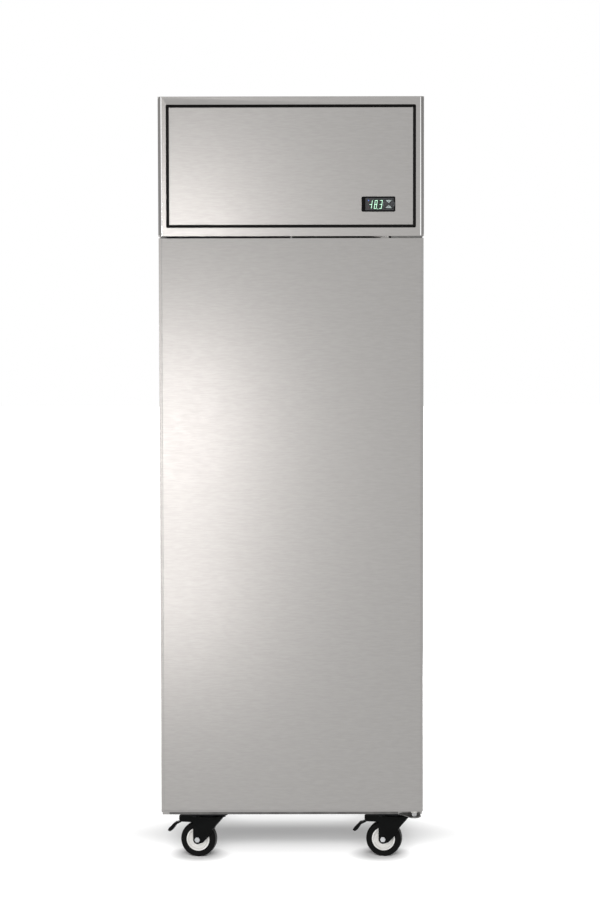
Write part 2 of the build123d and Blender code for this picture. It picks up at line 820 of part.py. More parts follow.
with BuildPart() as castor_bolts:
    for x, y in castor_centres:
        with BuildSketch(Plane.XY.offset(castor_plate_z - castor_bolt_head_height)):
            with Locations((x, y)):
                with GridLocations(castor_hole_pitch_x, castor_hole_pitch_y, 2, 2):
                    RegularPolygon(castor_bolt_head, 6)
        extrude(amount=castor_bolt_head_height)
        with BuildSketch(Plane.XY.offset(castor_plate_z)):
            with Locations((x, y)):
                with GridLocations(castor_hole_pitch_x, castor_hole_pitch_y, 2, 2):
                    Circle(castor_bolt_radius)
        extrude(amount=castor_plate + castor_bolt_length)
castor_bolts.part.label = "castor_bolts"
export_step(castor_bolts.part, "parts/castor_bolts.step")

# The housing's side, drawn from the axle: legs down to a rounded eye, a crown above the wheel
crown_low_z = crown_z - wheel_gap
pedal_pivot = (-pedal_pivot_back, crown_z + pedal_pivot_lift)
arm_top_z = crown_z - pedal_arm_drop + pedal_arm / 2
arm_low_z = arm_top_z - pedal_arm


def fork(x, y):
    pivot_u, pivot_z = pedal_pivot
    with BuildPart() as housing:
        with BuildSketch(castor_side(x, y, -leg_outer)):
            with BuildLine():
                Line((-eye_radius, crown_low_z), (-eye_radius, wheel_radius))
                eye = CenterArc((0, wheel_radius), eye_radius, 180, 110)
                lower = Line(eye @ 1, (eye_slope, wheel_radius - eye_drop))
                throat_points = [(u, wheel_radius + rise) for u, rise in throat]
                edge = Polyline(lower @ 1, *throat_points, (crown_right, race_z - crown_edge))
                Polyline(
                    edge @ 1,
                    (crown_right, race_z),
                    (crown_left, race_z),
                    (crown_left, crown_low_z + crown_lip),
                    (crown_left + crown_lip, crown_low_z),
                    (-eye_radius, crown_low_z),
                )
            make_face()
        extrude(amount=2 * leg_outer)
        with BuildSketch(castor_top(x, y, race_z - race_height)):
            Circle(crown_radius)
        extrude(amount=race_height)
        with BuildSketch(castor_side(x, y, -leg_inner)):
            with Locations((0, wheel_radius)):
                Circle(wheel_radius + wheel_gap)
        extrude(amount=2 * leg_inner, mode=Mode.SUBTRACT)
        with BuildSketch(castor_side(x, y, -leg_outer)):
            with Locations((0, wheel_radius)):
                Circle(axle_radius + run)
        extrude(amount=2 * leg_outer, mode=Mode.SUBTRACT)
        with BuildSketch(castor_top(x, y, 0)):
            Circle(kingpin_radius + run)
        extrude(amount=race_z, mode=Mode.SUBTRACT)
        with BuildSketch(castor_top(x, y, 0)):
            Circle(kingpin_head_radius + kingpin_head_room)
        extrude(amount=crown_z + kingpin_head + soft, mode=Mode.SUBTRACT)
        with BuildSketch(castor_side(x, y, -pedal_width / 2 - pedal_room)):
            slot_right = pivot_u + pedal_boss_radius + pedal_room
            slot_top = pivot_z + pedal_boss_radius + pedal_room
            with Locations((slot_right, slot_top)):
                Rectangle(slot_right - 2 * crown_left, slot_top - wheel_radius, align=(Align.MAX, Align.MAX))
        extrude(amount=pedal_width + 2 * pedal_room, mode=Mode.SUBTRACT)
        with BuildSketch(castor_side(x, y, -leg_outer)):
            with Locations((pivot_u, pivot_z)):
                Circle(pedal_pin_radius + run)
        extrude(amount=2 * leg_outer, mode=Mode.SUBTRACT)
    return housing.part


def pedal(x, y):
    # A pressed lever on a pin through the housing, with a thick curved toe.
    pivot_u, pivot_z = pedal_pivot
    with BuildPart() as lever:
        with BuildSketch(castor_side(x, y, -pedal_width / 2)):
            with BuildLine():
                top = Line((pivot_u, pivot_z), (crown_left - 2 * pedal_toe, arm_top_z))
                outer = Spline(
                    top @ 1,
                    (pedal_reach + 2 * pedal_toe, crown_z - pedal_back_drop),
                    (pedal_reach, pedal_tip_z + pedal_arm),
                    tangents=((-1, 0), (-0.3, -1)),
                )
                toe = Line(outer @ 1, (pedal_reach + pedal_toe, pedal_tip_z))
                inner = Spline(
                    toe @ 1,
                    (pedal_reach + 3 * pedal_toe, crown_z - pedal_belly_drop),
                    (crown_left - pedal_toe, arm_low_z),
                    tangents=((1, 0.4), (1, 0.2)),
                )
                Polyline(inner @ 1, (pivot_u, pivot_z - pedal_boss_radius / 2), top @ 0)
            make_face()
            with Locations(pedal_pivot):
                Circle(pedal_boss_radius)
        extrude(amount=pedal_width)
        with BuildSketch(castor_side(x, y, -leg_outer)):
            with Locations(pedal_pivot):
                Circle(pedal_pin_radius)
        extrude(amount=2 * leg_outer)
    return lever.part


for place, (x, y, braked) in castor_places.items():
    housing = fork(x, y)
    housing.label = f"{place}_fork"
    export_step(housing, f"parts/{place}_fork.step")

    with BuildPart() as hub:
        with BuildSketch(castor_side(x, y, -wheel_width / 2)):
            with Locations((0, wheel_radius)):
                Circle(hub_radius)
        extrude(amount=wheel_width)
        for near in (-1, 1):
            with BuildSketch(castor_side(x, y, near * wheel_width / 2)):
                with Locations((0, wheel_radius)):
                    Circle(hub_radius - hub_rim)
                    Circle(hub_boss_radius, mode=Mode.SUBTRACT)
            extrude(amount=-near * hub_dish, mode=Mode.SUBTRACT, taper=hub_taper)
            with BuildSketch(castor_side(x, y, near * wheel_width / 2)):
                with Locations((0, wheel_radius)):
                    Circle(hub_boss_radius)
            extrude(amount=near * (leg_gap - soft))
        with BuildSketch(castor_side(x, y, -leg_inner)):
            with Locations((0, wheel_radius)):
                Circle(axle_radius + run)
        extrude(amount=2 * leg_inner, mode=Mode.SUBTRACT)
    hub.part.label = f"{place}_hub"
    export_step(hub.part, f"parts/{place}_hub.step")

    with BuildPart() as tyre:
        with BuildSketch(castor_side(x, y, -wheel_width / 2)):
            with Locations((0, wheel_radius)):
                Circle(wheel_radius)
                Circle(hub_radius, mode=Mode.SUBTRACT)
        extrude(amount=wheel_width)
        rims = tyre.edges().filter_by(GeomType.CIRCLE).filter_by(lambda edge: edge.radius > hub_radius + 1)
        fillet(rims, radius=tyre_shoulder)
    tyre.part.label = f"{place}_tyre"
    export_step(tyre.part, f"parts/{place}_tyre.step")

    with BuildPart() as axle_bolt:
        with BuildSketch(castor_side(x, y, -leg_outer)):
            with Locations((0, wheel_radius)):
                Circle(axle_radius)
        extrude(amount=2 * leg_outer)
        for near in (-1, 1):
            with BuildSketch(castor_side(x, y, near * leg_outer)):
                with Locations((0, wheel_radius)):
                    RegularPolygon(axle_head_radius, 6)
            extrude(amount=near * axle_head)
    axle_bolt.part.label = f"{place}_axle_bolt"
    export_step(axle_bolt.part, f"parts/{place}_axle_bolt.step")

    if braked:
        lever = pedal(x, y)
        lever.label = f"{place}_brake_pedal"
        export_step(lever, f"parts/{place}_brake_pedal.step")

# Shelf supports: slotted pilasters on the side walls, with a runner for each side of a shelf
shelf_width = 2 * (cavity_half - shelf_side_gap)
shelf_back_y = cavity_back_y - shelf_back_gap
shelf_front_y = carcass_y + shelf_front_gap
shelf_depth = shelf_back_y - shelf_front_y
pilaster_low_z = cavity_floor_z + pilaster_foot
pilaster_face = cavity_half - pilaster_depth
shelf_middle_y = (shelf_front_y + shelf_back_y) / 2
pilaster_spread = shelf_depth - 2 * pilaster_from_ends
with BuildPart() as pilasters:
    with BuildSketch(Plane.XY.offset(pilaster_low_z)):
        for side in (-1, 1):
            with Locations((side * (cavity_half - pilaster_depth / 2), shelf_middle_y)):
                with GridLocations(1, pilaster_spread, 1, 2):
                    Rectangle(pilaster_depth, pilaster_width)
            with Locations((side * (cavity_half - pilaster_depth / 2 + skin), shelf_middle_y)):
                with GridLocations(1, pilaster_spread, 1, 2):
                    Rectangle(pilaster_depth, pilaster_width - 3 * skin, mode=Mode.SUBTRACT)
    extrude(amount=pilaster_height)
    with BuildSketch(facing_right(-cavity_half)):
        with Locations((shelf_middle_y, pilaster_low_z + pilaster_height / 2)):
            with GridLocations(pilaster_spread, slot_pitch, 2, int(pilaster_height / slot_pitch) - 1):
                Rectangle(slot_width, slot_height)
    extrude(amount=2 * cavity_half, mode=Mode.SUBTRACT)
pilasters.part.label = "pilasters"
export_step(pilasters.part, "parts/pilasters.step")

shelf_heights = [cavity_floor_z + first_shelf + step * shelf_pitch for step in range(shelf_count)]
ledge_inner = pilaster_face - runner_ledge
with BuildPart() as shelf_runners:
    for shelf_z in shelf_heights:
        ledge_z = shelf_z - soft
        for side in (-1, 1):
            with BuildSketch(facing_front(shelf_back_y)):
                with BuildLine():
                    Polyline(
                        (side * pilaster_face, ledge_z - runner_sheet),
                        (side * pilaster_face, ledge_z - runner_sheet + runner_height),
                        (side * (pilaster_face - runner_sheet), ledge_z - runner_sheet + runner_height),
                        (side * (pilaster_face - runner_sheet), ledge_z),
                        (side * ledge_inner, ledge_z),
                        (side * ledge_inner, ledge_z - runner_sheet),
                        close=True,
                    )
                make_face()
            extrude(amount=shelf_depth)
shelf_runners.part.label = "shelf_runners"
export_step(shelf_runners.part, "parts/shelf_runners.step")

# Wire shelves: a rim, two cross wires and a grid on top of them
for number, shelf_z in enumerate(shelf_heights, start=1):
    with BuildPart() as wire_shelf:
        with BuildSketch(Plane.XY.offset(shelf_z)):
            with Locations((0, shelf_middle_y)):
                RectangleRounded(shelf_width, shelf_depth, 4 * rim_wire)
                RectangleRounded(shelf_width - 4 * rim_wire, shelf_depth - 4 * rim_wire, 2 * rim_wire,
                                 mode=Mode.SUBTRACT)
        extrude(amount=2 * rim_wire)
        with BuildSketch(Plane.XY.offset(shelf_z + rim_wire - grid_wire)):
            with Locations((0, shelf_middle_y)):
                with GridLocations(1, shelf_depth / 3, 1, 2):
                    Rectangle(shelf_width - 2 * rim_wire, 2 * rim_wire)
                with GridLocations((shelf_width - 6 * rim_wire) / (grid_wires + 1), 1, grid_wires, 1):
                    Rectangle(2 * grid_wire, shelf_depth - 2 * rim_wire)
        extrude(amount=2 * grid_wire)
    wire_shelf.part.label = f"wire_shelf_{number}"
    export_step(wire_shelf.part, f"parts/wire_shelf_{number}.step")


def fin_block(low_x, high_x, low_z, high_z, back_y, depth):
    # Cooling fins threaded on level tubes, drawn from the front as a grille with its end plates.
    width = high_x - low_x
    height = high_z - low_z
    with BuildPart() as coil:
        with BuildSketch(facing_front(back_y, (low_x + high_x) / 2, (low_z + high_z) / 2)):
            with GridLocations(fin_pitch, 1, int((width - fin_pitch) / fin_pitch), 1):
                Rectangle(fin_thickness, height)
            with GridLocations(1, tube_pitch, 1, int(height / tube_pitch)):
                Rectangle(width, tube_thickness)
            with GridLocations(width - 2 * fin_thickness, 1, 2, 1):
                Rectangle(2 * fin_thickness, height)
        extrude(amount=depth)
    return coil.part


def fan(x, y, z, radius):
    # A hub and pitched blades that turn about the Y axis; y is the middle of its depth.
    with BuildPart() as blades:
        with BuildSketch(facing_front(y + fan_depth / 2, x, z)):
            Circle(fan_hub_radius)
        extrude(amount=fan_depth)
        for step in range(fan_blades):
            angle = math.radians(step * 360 / fan_blades)
            reach = Vector(math.cos(angle), 0, math.sin(angle))
            across = Vector(-math.sin(angle), 0, math.cos(angle))
            pitch = math.radians(blade_angle)
            chord = across * math.cos(pitch) + Vector(0, math.sin(pitch), 0)
            blade_plane = Plane(origin=(x, y, z), x_dir=reach, z_dir=reach.cross(chord))
            with BuildSketch(blade_plane):
                with BuildLine():
                    root = Line((fan_hub_radius - 2, -blade_root / 2), (fan_hub_radius - 2, blade_root / 2))
                    lead = ThreePointArc(root @ 1, (radius * 0.7, blade_tip * 0.42), (radius * 0.97, blade_tip * 0.28))
                    tip = Line(lead @ 1, (radius * 0.97, -blade_tip * 0.3))
                    Line(tip @ 1, root @ 0)
                make_face()
            extrude(amount=blade_thickness / 2, both=True)
        with BuildSketch(facing_front(y + fan_depth / 2, x, z)):
            Circle(shaft_radius + run)
        extrude(amount=fan_depth, mode=Mode.SUBTRACT)
    return blades.part


def motor(x, wall_y, z, radius):
    # A round motor on a bracket whose two legs stand on the wall, either side of the fan.
    leg_x = radius + fan_gap
    strap_y = wall_y + fan_depth + 2 * fan_gap
    with BuildPart() as body:
        with BuildSketch(facing_front(strap_y, x, z)):
            Rectangle(2 * (leg_x + strap_thickness), strap_width)
        extrude(amount=-strap_thickness)
        with BuildSketch(facing_front(strap_y, x, z)):
            with GridLocations(2 * leg_x + strap_thickness, 1, 2, 1):
                Rectangle(strap_thickness, strap_width)
        extrude(amount=strap_y - wall_y)
        with BuildSketch(facing_front(strap_y, x, z)):
            Circle(motor_radius)
        extrude(amount=-motor_length)
        rear_rim = body.edges().filter_by(GeomType.CIRCLE).sort_by(Axis.Y)[-1]
        fillet(rear_rim, radius=3 * strap_thickness)
        with BuildSketch(facing_front(strap_y, x, z)):
            Circle(shaft_radius)
        extrude(amount=fan_depth + fan_gap)
    return body.part


# Evaporator in the roof of the cavity, behind a cover with the fan in its front wall
cover_half = cavity_half - cover_width_gap
cover_front_y = cavity_back_y - cover_depth
cover_bottom_z = cavity_ceiling_z - cover_height
evaporator_fan_z = cavity_ceiling_z - cover_height / 2
with BuildPart() as evaporator_cover:
    block((-cover_half, cover_front_y, cover_bottom_z), (cover_half, cavity_back_y, cavity_ceiling_z))
    block(
        (-cover_half + skin, cover_front_y + skin, cover_bottom_z + skin),
        (cover_half - skin, cavity_back_y - air_slot, cavity_ceiling_z),
        mode=Mode.SUBTRACT,
    )
    block(
        (-cover_half + skin, cavity_back_y - air_slot, cover_bottom_z),
        (cover_half - skin, cavity_back_y, cavity_ceiling_z),
        mode=Mode.SUBTRACT,
    )
    with BuildSketch(facing_front(cover_front_y, 0, evaporator_fan_z)):
        with GridLocations(1, guard_pitch, 1, int(2 * evaporator_fan_radius / guard_pitch)):
            Rectangle(2 * evaporator_fan_radius, guard_pitch - guard_bar)
        Rectangle(guard_bar, 2 * evaporator_fan_radius, mode=Mode.SUBTRACT)
        Circle(evaporator_fan_radius, mode=Mode.INTERSECT)
    extrude(amount=-skin, mode=Mode.SUBTRACT)
evaporator_cover.part.label = "evaporator_cover"
export_step(evaporator_cover.part, "parts/evaporator_cover.step")

evaporator_coil = fin_block(-evaporator_width / 2, evaporator_width / 2, cavity_ceiling_z - evaporator_height,
                            cavity_ceiling_z, evaporator_back_y, evaporator_depth)
evaporator_coil.label = "evaporator_coil"
export_step(evaporator_coil, "parts/evaporator_coil.step")

# Condenser on the deck behind the service panel, with its shroud, fan and motor behind it
condenser_front_y = carcass_y + condenser_from_front
condenser_back_y = condenser_front_y + condenser_depth
condenser_low_x = condenser_x - condenser_width / 2
condenser_high_x = condenser_x + condenser_width / 2
condenser_fan_z = deck_z + condenser_height / 2
shroud_back_y = condenser_back_y + shroud_depth
condenser_coil = fin_block(condenser_low_x, condenser_high_x, deck_z, deck_z + condenser_height,
                           condenser_back_y, condenser_depth)
condenser_coil.label = "condenser_coil"
export_step(condenser_coil, "parts/condenser_coil.step")

with BuildPart() as fan_shroud:
    block((condenser_low_x, condenser_back_y, deck_z), (condenser_high_x, shroud_back_y, deck_z + condenser_height))
    block(
        (condenser_low_x + skin, condenser_back_y, deck_z + skin),
        (condenser_high_x - skin, shroud_back_y - skin, deck_z + condenser_height - skin),
        mode=Mode.SUBTRACT,
    )
    with BuildSketch(facing_front(shroud_back_y, condenser_x, condenser_fan_z)):
        Circle(condenser_fan_radius + fan_gap)
    extrude(amount=skin, mode=Mode.SUBTRACT)
fan_shroud.part.label = "fan_shroud"
export_step(fan_shroud.part, "parts/fan_shroud.step")

# Each fan turns between its wall and its motor's bracket, on the motor's shaft
fan_places = {
    "condenser": (condenser_x, shroud_back_y, condenser_fan_z, condenser_fan_radius),
    "evaporator": (0.0, cover_front_y + skin, evaporator_fan_z, evaporator_fan_radius),
}
for owner, (x, wall_y, z, radius) in fan_places.items():
    blades = fan(x, wall_y + fan_gap + fan_depth / 2, z, radius)
    blades.label = f"{owner}_fan_blade"
    export_step(blades, f"parts/{owner}_fan_blade.step")

motors = [motor(*place) for place in fan_places.values()]
fan_motors = Compound(children=motors)
fan_motors.label = "fan_motors"
export_step(fan_motors, "parts/fan_motors.step")

# Compressor: a welded pot on a foot plate, with a discharge stub on top and a suction stub behind
compressor_y = back_y - compressor_from_back
pot_low_z = deck_z + foot_height
pot_top_z = deck_z + compressor_height
suction_z = deck_z + suction_height
discharge_x = condenser_x - compressor_radius / 2
with BuildPart() as compressor:
    with BuildSketch(Plane.XY.offset(deck_z)):
        with Locations((condenser_x, compressor_y)):
            RectangleRounded(2 * (compressor_radius + compressor_foot_margin), compressor_foot_depth, foot_height)
    extrude(amount=foot_sheet)
    with BuildSketch(Plane.XY.offset(deck_z)):
        with Locations((condenser_x, compressor_y)):
            Circle(compressor_neck_radius)
    extrude(amount=foot_height)
    with BuildSketch(Plane.XY.offset(pot_low_z)):
        with Locations((condenser_x, compressor_y)):
            Circle(compressor_radius)
    extrude(amount=pot_top_z - pot_low_z)
    pot_rims = compressor.edges().filter_by(GeomType.CIRCLE).filter_by(lambda e: e.radius > compressor_radius - 1)
    fillet(pot_rims, radius=compressor_rounding)
    with BuildSketch(Plane.XY.offset(suction_z - seam_height)):
        with Locations((condenser_x, compressor_y)):
            Circle(compressor_radius + seam_proud)
    extrude(amount=seam_height / 2)
    with BuildSketch(Plane.XY.offset(pot_top_z - compressor_rounding)):
        with Locations((discharge_x, compressor_y)):
            Circle(stub_radius)
    extrude(amount=compressor_rounding + stub_length)
    with BuildSketch(facing_front(compressor_y, condenser_x, suction_z)):
        Circle(stub_radius)
    extrude(amount=-compressor_radius - stub_length)
compressor.part.label = "compressor"
export_step(compressor.part, "parts/compressor.step")

# Lines: discharge to the condenser, liquid down to the evaporator, suction back to the compressor
header_x = condenser_low_x - line_offset
header_y = (condenser_front_y + condenser_back_y) / 2
high_z = pot_top_z + stub_length + line_offset
inlet_z = deck_z + 0.8 * condenser_height
outlet_z = deck_z + 0.15 * condenser_height
suction_end_y = compressor_y + compressor_radius + stub_length
line_routes = {
    "discharge": [
        (discharge_x, compressor_y, pot_top_z + stub_length),
        (discharge_x, compressor_y, high_z),
        (header_x, compressor_y, high_z),
        (header_x, header_y, high_z),
        (header_x, header_y, inlet_z),
        (condenser_low_x, header_y, inlet_z),
    ],
    "liquid": [
        (condenser_low_x, header_y, outlet_z),
        (header_x, header_y, outlet_z),
        (header_x, liquid_y, outlet_z),
        (line_x, liquid_y, outlet_z),
        (line_x, liquid_y, cavity_ceiling_z),
    ],
    "suction": [
        (line_x, suction_y, cavity_ceiling_z),
        (line_x, suction_y, suction_z + line_offset),
        (condenser_x, suction_y, suction_z + line_offset),
        (condenser_x, suction_y, suction_z),
        (condenser_x, suction_end_y, suction_z),
    ],
}
lines = []
for route in line_routes.values():
    with BuildPart() as tube:
        with BuildLine() as path:
            FilletPolyline(*route, radius=line_bend)
        start = Vector(route[0])
        with BuildSketch(Plane(origin=start, z_dir=Vector(route[1]) - start)):
            Circle(line_radius)
        sweep()
    lines.append(tube.part)
refrigerant_lines = Compound(children=lines)
refrigerant_lines.label = "refrigerant_lines"
export_step(refrigerant_lines, "parts/refrigerant_lines.step")

with BuildPart() as electrical_box:
    box_right = inside_half - box_side_gap
    block((box_right - box_width, compressor_y - box_depth, deck_z), (box_right, compressor_y, deck_z + box_height))
    box_edges = electrical_box.edges().filter_by(Axis.Z) + electrical_box.faces().sort_by(Axis.Z)[-1].edges()
    fillet(box_edges, radius=box_rounding)
    lid_plane = Plane.XY.offset(deck_z + box_height)
    with BuildSketch(lid_plane):
        with Locations((box_right - box_width / 2, compressor_y - box_depth / 2)):
            with GridLocations(box_width - 5 * box_rounding, box_depth - 5 * box_rounding, 2, 2):
                Circle(box_rounding)
    extrude(amount=-skin, mode=Mode.SUBTRACT)
electrical_box.part.label = "electrical_box"
export_step(electrical_box.part, "parts/electrical_box.step")

# Machine cover: one folded sheet over the top and the back of the machinery, with air slots
cover_back_y = back_y - cover_setback
gland_x = half_width - gland_from_side
gland_z = deck_z + gland_height
machine_height = top_z - deck_z
top_depth = cover_back_y - carcass_y
with BuildPart() as machine_cover:
    block((-inside_half, carcass_y + skin, top_z - skin), (inside_half, cover_back_y, top_z))
    block((-inside_half, cover_back_y - skin, deck_z), (inside_half, cover_back_y, top_z))
    with BuildSketch(facing_front(cover_back_y, 0, deck_z + machine_height / 2)):
        with GridLocations(louvre_length + louvre_gap, louvre_pitch, louvre_columns, louvre_rows):
            SlotOverall(louvre_length, louvre_height)
    extrude(amount=skin, mode=Mode.SUBTRACT)
    with BuildSketch(Plane.XY.offset(top_z)):
        with Locations((0, carcass_y + top_depth / 2)):
            with GridLocations(louvre_length + louvre_gap, louvre_pitch, louvre_columns, louvre_rows):
                SlotOverall(louvre_length, louvre_height)
    extrude(amount=-skin, mode=Mode.SUBTRACT)
    with BuildSketch(facing_front(cover_back_y, gland_x, gland_z)):
        Circle(gland_radius)
    extrude(amount=skin, mode=Mode.SUBTRACT)
machine_cover.part.label = "machine_cover"
export_step(machine_cover.part, "parts/machine_cover.step")

with BuildPart() as cable_gland:
    with BuildSketch(facing_front(cover_back_y, gland_x, gland_z)):
        RegularPolygon(gland_nut_radius, 6)
    extrude(amount=-gland_nut)
    with BuildSketch(facing_front(cover_back_y, gland_x, gland_z)):
        Circle(gland_radius)
    extrude(amount=2 * gland_nut)
    with BuildSketch(facing_front(cover_back_y + gland_nut, gland_x, gland_z)):
        Circle(gland_neck_radius)
    extrude(amount=-gland_nut, taper=gland_taper)
    with BuildSketch(facing_front(cover_back_y + 2 * gland_nut, gland_x, gland_z)):
        Circle(gland_radius / 2)
    extrude(amount=gland_nut, mode=Mode.SUBTRACT)
cable_gland.part.label = "cable_gland"
export_step(cable_gland.part, "parts/cable_gland.step")
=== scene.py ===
# Upright one-door freezer: finishes, soft edges, small details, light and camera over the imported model.
import bpy
import json
import math
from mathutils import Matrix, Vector

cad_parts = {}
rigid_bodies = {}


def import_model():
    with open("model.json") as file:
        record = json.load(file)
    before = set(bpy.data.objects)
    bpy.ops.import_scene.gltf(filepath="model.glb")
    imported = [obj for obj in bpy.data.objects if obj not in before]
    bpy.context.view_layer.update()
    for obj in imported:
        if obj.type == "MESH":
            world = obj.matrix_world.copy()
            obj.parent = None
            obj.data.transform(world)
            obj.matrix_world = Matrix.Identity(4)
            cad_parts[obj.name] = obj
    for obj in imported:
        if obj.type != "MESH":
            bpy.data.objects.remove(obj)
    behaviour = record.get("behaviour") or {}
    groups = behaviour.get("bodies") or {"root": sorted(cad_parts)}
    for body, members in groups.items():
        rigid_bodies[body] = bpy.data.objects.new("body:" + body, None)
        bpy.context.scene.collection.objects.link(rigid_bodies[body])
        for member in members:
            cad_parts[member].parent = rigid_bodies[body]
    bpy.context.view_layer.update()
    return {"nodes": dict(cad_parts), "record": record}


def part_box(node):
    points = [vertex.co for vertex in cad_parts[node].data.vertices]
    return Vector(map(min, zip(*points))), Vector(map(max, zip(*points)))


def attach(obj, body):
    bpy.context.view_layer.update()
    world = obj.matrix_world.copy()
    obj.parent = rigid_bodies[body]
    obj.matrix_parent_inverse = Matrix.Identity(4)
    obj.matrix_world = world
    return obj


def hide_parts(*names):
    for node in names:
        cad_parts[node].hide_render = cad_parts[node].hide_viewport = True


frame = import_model()
mm = 0.001
castors = ("front_left", "front_right", "rear_left", "rear_right")
print("frame loaded:", len(frame["nodes"]), "nodes")


# small tools
def hexColour(code, alpha=1.0):
    # sRGB hex as it would be picked on screen, turned linear for the shader
    channels = [int(code[i:i + 2], 16) / 255 for i in (1, 3, 5)]
    return [c / 12.92 if c <= 0.04045 else ((c + 0.055) / 1.055) ** 2.4 for c in channels] + [alpha]


def addNode(tree, kind, settings=None, links=None):
    # settings go on the node or, where a name or number is a socket's, on that input; links feed inputs
    node = tree.nodes.new(kind)
    for name, value in (settings or {}).items():
        if isinstance(name, str) and hasattr(node, name):
            setattr(node, name, value)
        else:
            node.inputs[name].default_value = value
    for name, source in (links or {}).items():
        tree.links.new(source, node.inputs[name])
    return node


def patternPlace(tree, size):
    # object coordinates counted in features of size = (x, y, z) millimetres
    place = addNode(tree, "ShaderNodeTexCoord").outputs["Object"]
    return addNode(tree, "ShaderNodeMapping", {"Scale": [1 / (s * mm) for s in size]}, {0: place}).outputs[0]


def makeFinish(name, light, dark, metallic, roughness, shade, relief=None, spread=0.06, **sockets):
    # shade is the pattern that shifts colour and gloss; relief is one whose height is real millimetres:
    # (texture, its output, feature size in millimetres, its own settings) and, for relief, a height
    material = bpy.data.materials.new(name)
    material.use_nodes = True
    tree = material.node_tree
    shader = tree.nodes["Principled BSDF"]
    shader.inputs["Metallic"].default_value = metallic
    for socket, value in sockets.items():
        shader.inputs[socket.replace("_", " ")].default_value = value
    kind, output, size, settings = shade
    texture = addNode(tree, kind, {"Scale": 1.0, **settings}, {"Vector": patternPlace(tree, size)})
    middle = addNode(tree, "ShaderNodeMapRange", {"From Min": 0.3, "From Max": 0.7},
                     {0: texture.outputs[output]})
    colour = addNode(tree, "ShaderNodeMix", {"data_type": "RGBA", 6: hexColour(light), 7: hexColour(dark)},
                     {0: middle.outputs[0]})
    gloss = addNode(tree, "ShaderNodeMapRange", {"To Min": roughness - spread, "To Max": roughness + spread},
                    {0: middle.outputs[0]})
    tree.links.new(colour.outputs[2], shader.inputs["Base Color"])
    tree.links.new(gloss.outputs[0], shader.inputs["Roughness"])
    if relief:
        kind, output, size, settings, height = relief
        texture = addNode(tree, kind, {"Scale": 1.0, **settings}, {"Vector": patternPlace(tree, size)})
        bump = addNode(tree, "ShaderNodeBump", {"Distance": height * mm, "Strength": 0.6},
                       {"Height": texture.outputs[output]})
        tree.links.new(bump.outputs[0], shader.inputs["Normal"])
    material.diffuse_color = hexColour(light)
    return material


# materials
noise = "ShaderNodeTexNoise"
cells = "ShaderNodeTexVoronoi"


def brushedStainless(name, light, dark, grain, roughness):
    # Stainless sheet, belt-brushed to a satin grain: a soft grey that blurs lamps into wide glows,
    # with faint short lines along the grain. The real lines are under 0.1 mm wide, so they are
    # drawn about 3 mm apart to show. A slow wave of the sheet bends the reflections a little.
    material = makeFinish(name, light, dark, 1.0, roughness, (noise, "Fac", grain, {"Detail": 3.0}),
                          spread=0.02)
    tree = material.node_tree
    lines = addNode(tree, noise, {"Scale": 1.0, "Detail": 2.0},
                    {"Vector": patternPlace(tree, [g * 0.3 for g in grain])})
    wave = addNode(tree, noise, {"Scale": 1.0, "Detail": 0.0},
                   {"Vector": patternPlace(tree, (420, 420, 420))})
    slow = addNode(tree, "ShaderNodeBump", {"Distance": 1.2 * mm, "Strength": 0.5},
                   {"Height": wave.outputs[0]})
    fine = addNode(tree, "ShaderNodeBump", {"Distance": 0.02 * mm, "Strength": 0.5},
                   {"Height": lines.outputs[0], "Normal": slow.outputs[0]})
    tree.links.new(fine.outputs[0], tree.nodes["Principled BSDF"].inputs["Normal"])
    return material


steelSkin = brushedStainless("brushedSteelSkin", "#a8a6a4", "#a2a09e", (24, 24, 3.0), 0.34)
steelLiner = brushedStainless("brushedSteelLiner", "#c2c1bf", "#b8b7b5", (3.0, 24, 24), 0.3)

# The same stainless, made near white and glossy on the outside of the fascia's folds: a painted
# highlight, the thin, nearly white line that a lamp would draw along each fold
foldHighlightSteel = makeFinish("paintedHighlightFoldSteel", "#ffffff", "#faf9f8", 1.0, 0.13,
                       (noise, "Fac", (24, 24, 24), {}), spread=0.03)

# Stainless with a dull finish, darker and greyer: painted shade for the base pan under the door
shadedBaseSteel = makeFinish("paintedShadeBaseSteel", "#747372", "#686766", 1.0, 0.48,
                       (noise, "Fac", (24, 24, 24), {}), spread=0.05)

# Hot-dip galvanised steel: flat grey with spangle, crystals about 9 mm across that each catch the
# light a little differently
zincSheet = makeFinish("galvanisedSheet", "#a9acad", "#b8babb", 1.0, 0.42, (cells, "Color", (9, 9, 9), {}),
                       spread=0.1)


def platedSteel(name, light, dark, roughness):
    # Plated or ground steel, cool and slightly cloudy, duller where it was handled
    return makeFinish(name, light, dark, 1.0, roughness, (noise, "Fac", (12, 12, 12), {"Detail": 4.0}),
                      spread=0.08)


zincPlate = platedSteel("zincPlatedSteel", "#d9dadb", "#b4b6b8", 0.3)
hingeSteel = platedSteel("hingeSteel", "#a3a2a0", "#868584", 0.38)
pinSteel = platedSteel("groundPinSteel", "#b5b5b5", "#969698", 0.22)
wireNickel = platedSteel("nickelWire", "#cfceca", "#bdbcb8", 0.16)


def mouldedPlastic(name, light, dark, roughness, relief=0.02, **sockets):
    # Injection-moulded plastic with a spark-eroded grain: an even colour, a dull broken sheen
    # and slightly uneven shade from the flow of the melt
    return makeFinish(name, light, dark, 0.0, roughness, (noise, "Fac", (60, 60, 60), {"Detail": 2.0}),
                      (noise, "Fac", (0.8, 0.8, 0.8), {"Detail": 2.0}, relief), **sockets)


